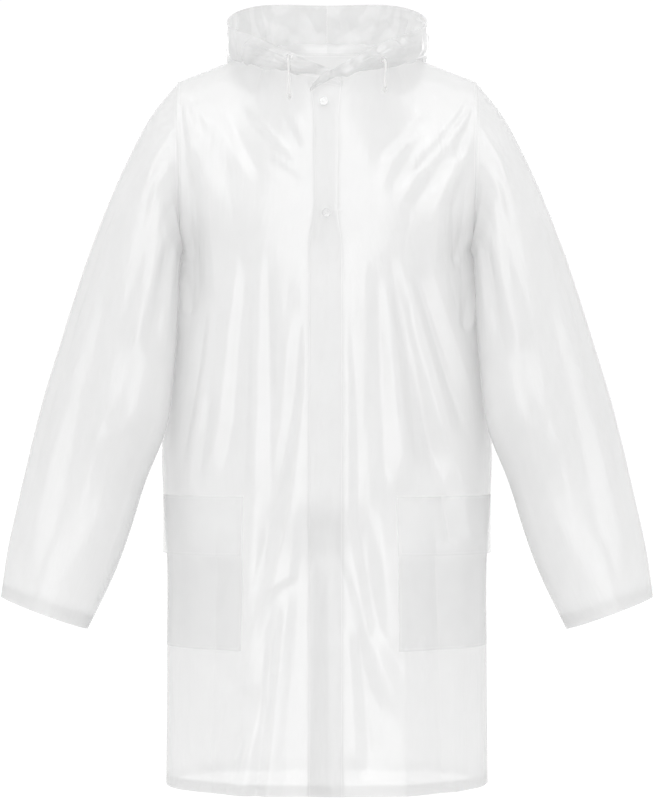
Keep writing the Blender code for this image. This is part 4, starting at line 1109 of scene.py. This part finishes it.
def makeTrims():
    finish = plasticPaint()
    snap = trims["snap"]
    for number in range(1, 5):
        bpy.ops.mesh.primitive_cylinder_add(vertices=48, radius=snap["radius"], depth=snap["height"],
                                            location=(0, 0, snap["height"] / 2))
        made = bpy.context.object
        bpy.ops.object.transform_apply(location=True)
        bpy.ops.object.mode_set(mode="EDIT")
        bpy.ops.mesh.select_all(action="DESELECT")
        bpy.ops.object.mode_set(mode="OBJECT")
        for face in made.data.polygons:
            face.select = face.normal.z > 0.9
        bpy.ops.object.mode_set(mode="EDIT")
        for share, depth in trims["insets"]:
            bpy.ops.mesh.inset(thickness=share * snap["radius"], depth=depth)
        bpy.ops.object.mode_set(mode="OBJECT")
        soften = made.modifiers.new("rounded", "BEVEL")
        soften.width = snap["rounding"]
        soften.segments = 3
        soften.limit_method = "ANGLE"
        bpy.ops.object.modifier_apply(modifier=soften.name)
        seated(made, f"snapCap{number}", f"snap_{number}", finish)
    eyelet = trims["eyelet"]
    for side in ("left", "right"):
        bpy.ops.mesh.primitive_torus_add(major_radius=eyelet["ring"], minor_radius=eyelet["wire"],
                                         major_segments=48, minor_segments=14,
                                         location=(0, 0, 0.6 * eyelet["wire"]))
        made = bpy.context.object
        bpy.ops.object.transform_apply(location=True)
        seated(made, side + "Eyelet", "eyelet_" + side, finish)


makeTrims()
print("snaps and eyelets made")

studio = {
    "floor": -1.5,
    "floorSize": 60.0,
    "white": 1.04,
    "bounces": {"transparent_max": 16, "max": 6, "diffuse": 3, "glossy": 3},
    "fill": (0.875, 1.00),  # from the front, and from the white wall behind
    "turn": (-0.35, 0.45),
    "boxes": (
        ("frontBox", (0.0, -5.4, 2.15), (0.0, 0.0, -0.45), (5.5, 8.1), 99.0),
        ("leftBox", (5.0, -2.2, 0.3), (0.0, 0.0, -0.45), (3.2, 4.0), 3.0),
        ("rightBox", (-5.0, -2.2, 0.3), (0.0, 0.0, -0.45), (3.2, 4.0), 3.0),
        ("topBox", (0.0, -1.2, 3.2), (0.0, 0.0, -0.10), (3.0, 2.6), 14.0),
        ("backBox", (0.0, 5.0, 0.8), (0.0, 0.0, -0.45), (3.6, 3.0), 38.0),
    ),
}


def setStudio():
    scene = bpy.context.scene
    bpy.ops.mesh.primitive_plane_add(size=studio["floorSize"], location=(0, 0, studio["floor"]))
    floor = bpy.context.object
    floor.name = "floor"
    paint = Paint("paleFloor", (0.0, 0.0, 0.0), 1.0)
    paint.set("Emission Color", (1.0, 1.0, 1.0, 1.0))
    paint.set("Emission Strength", studio["white"])
    floor.data.materials.append(paint.material)
    floor.visible_diffuse = False
    floor.visible_glossy = False
    floor.visible_shadow = False
    scene.world = bpy.data.worlds.new("paleRoom")
    scene.world.use_nodes = True
    room = Nodes(scene.world.node_tree)
    sight = room.node("ShaderNodeLightPath", None, None, "Is Camera Ray")
    place = room.node("ShaderNodeTexCoord", None, None, "Generated")
    back = room.node("ShaderNodeSeparateXYZ", None, {"Vector": place}, "Y")
    ends = dict(zip(("From Min", "From Max", "To Min", "To Max"), studio["turn"] + studio["fill"]))
    fill = room.node("ShaderNodeMapRange", {"interpolation_type": "SMOOTHSTEP"}, {"Value": back, **ends})
    sockets = {"Factor": sight, "A": fill, "B": studio["white"]}
    shown = room.node("ShaderNodeMix", {"data_type": "FLOAT"}, sockets)
    light = room.tree.nodes["Background"]
    room.feed(light.inputs["Color"], (1.0, 1.0, 1.0, 1.0))
    room.feed(light.inputs["Strength"], shown)
    for name, place, target, size, power in studio["boxes"]:
        lamp = bpy.data.lights.new(name, "AREA")
        lamp.shape = "RECTANGLE"
        lamp.size, lamp.size_y = size
        lamp.energy = power
        holder = bpy.data.objects.new(name, lamp)
        scene.collection.objects.link(holder)
        holder.location = place
        holder.rotation_euler = (Vector(target) - Vector(place)).to_track_quat("-Z", "Y").to_euler()
        holder.visible_camera = False
    scene.view_settings.view_transform = "Standard"
    for kind, count in studio["bounces"].items():
        setattr(scene.cycles, kind + "_bounces", count)


setStudio()
print("studio set")
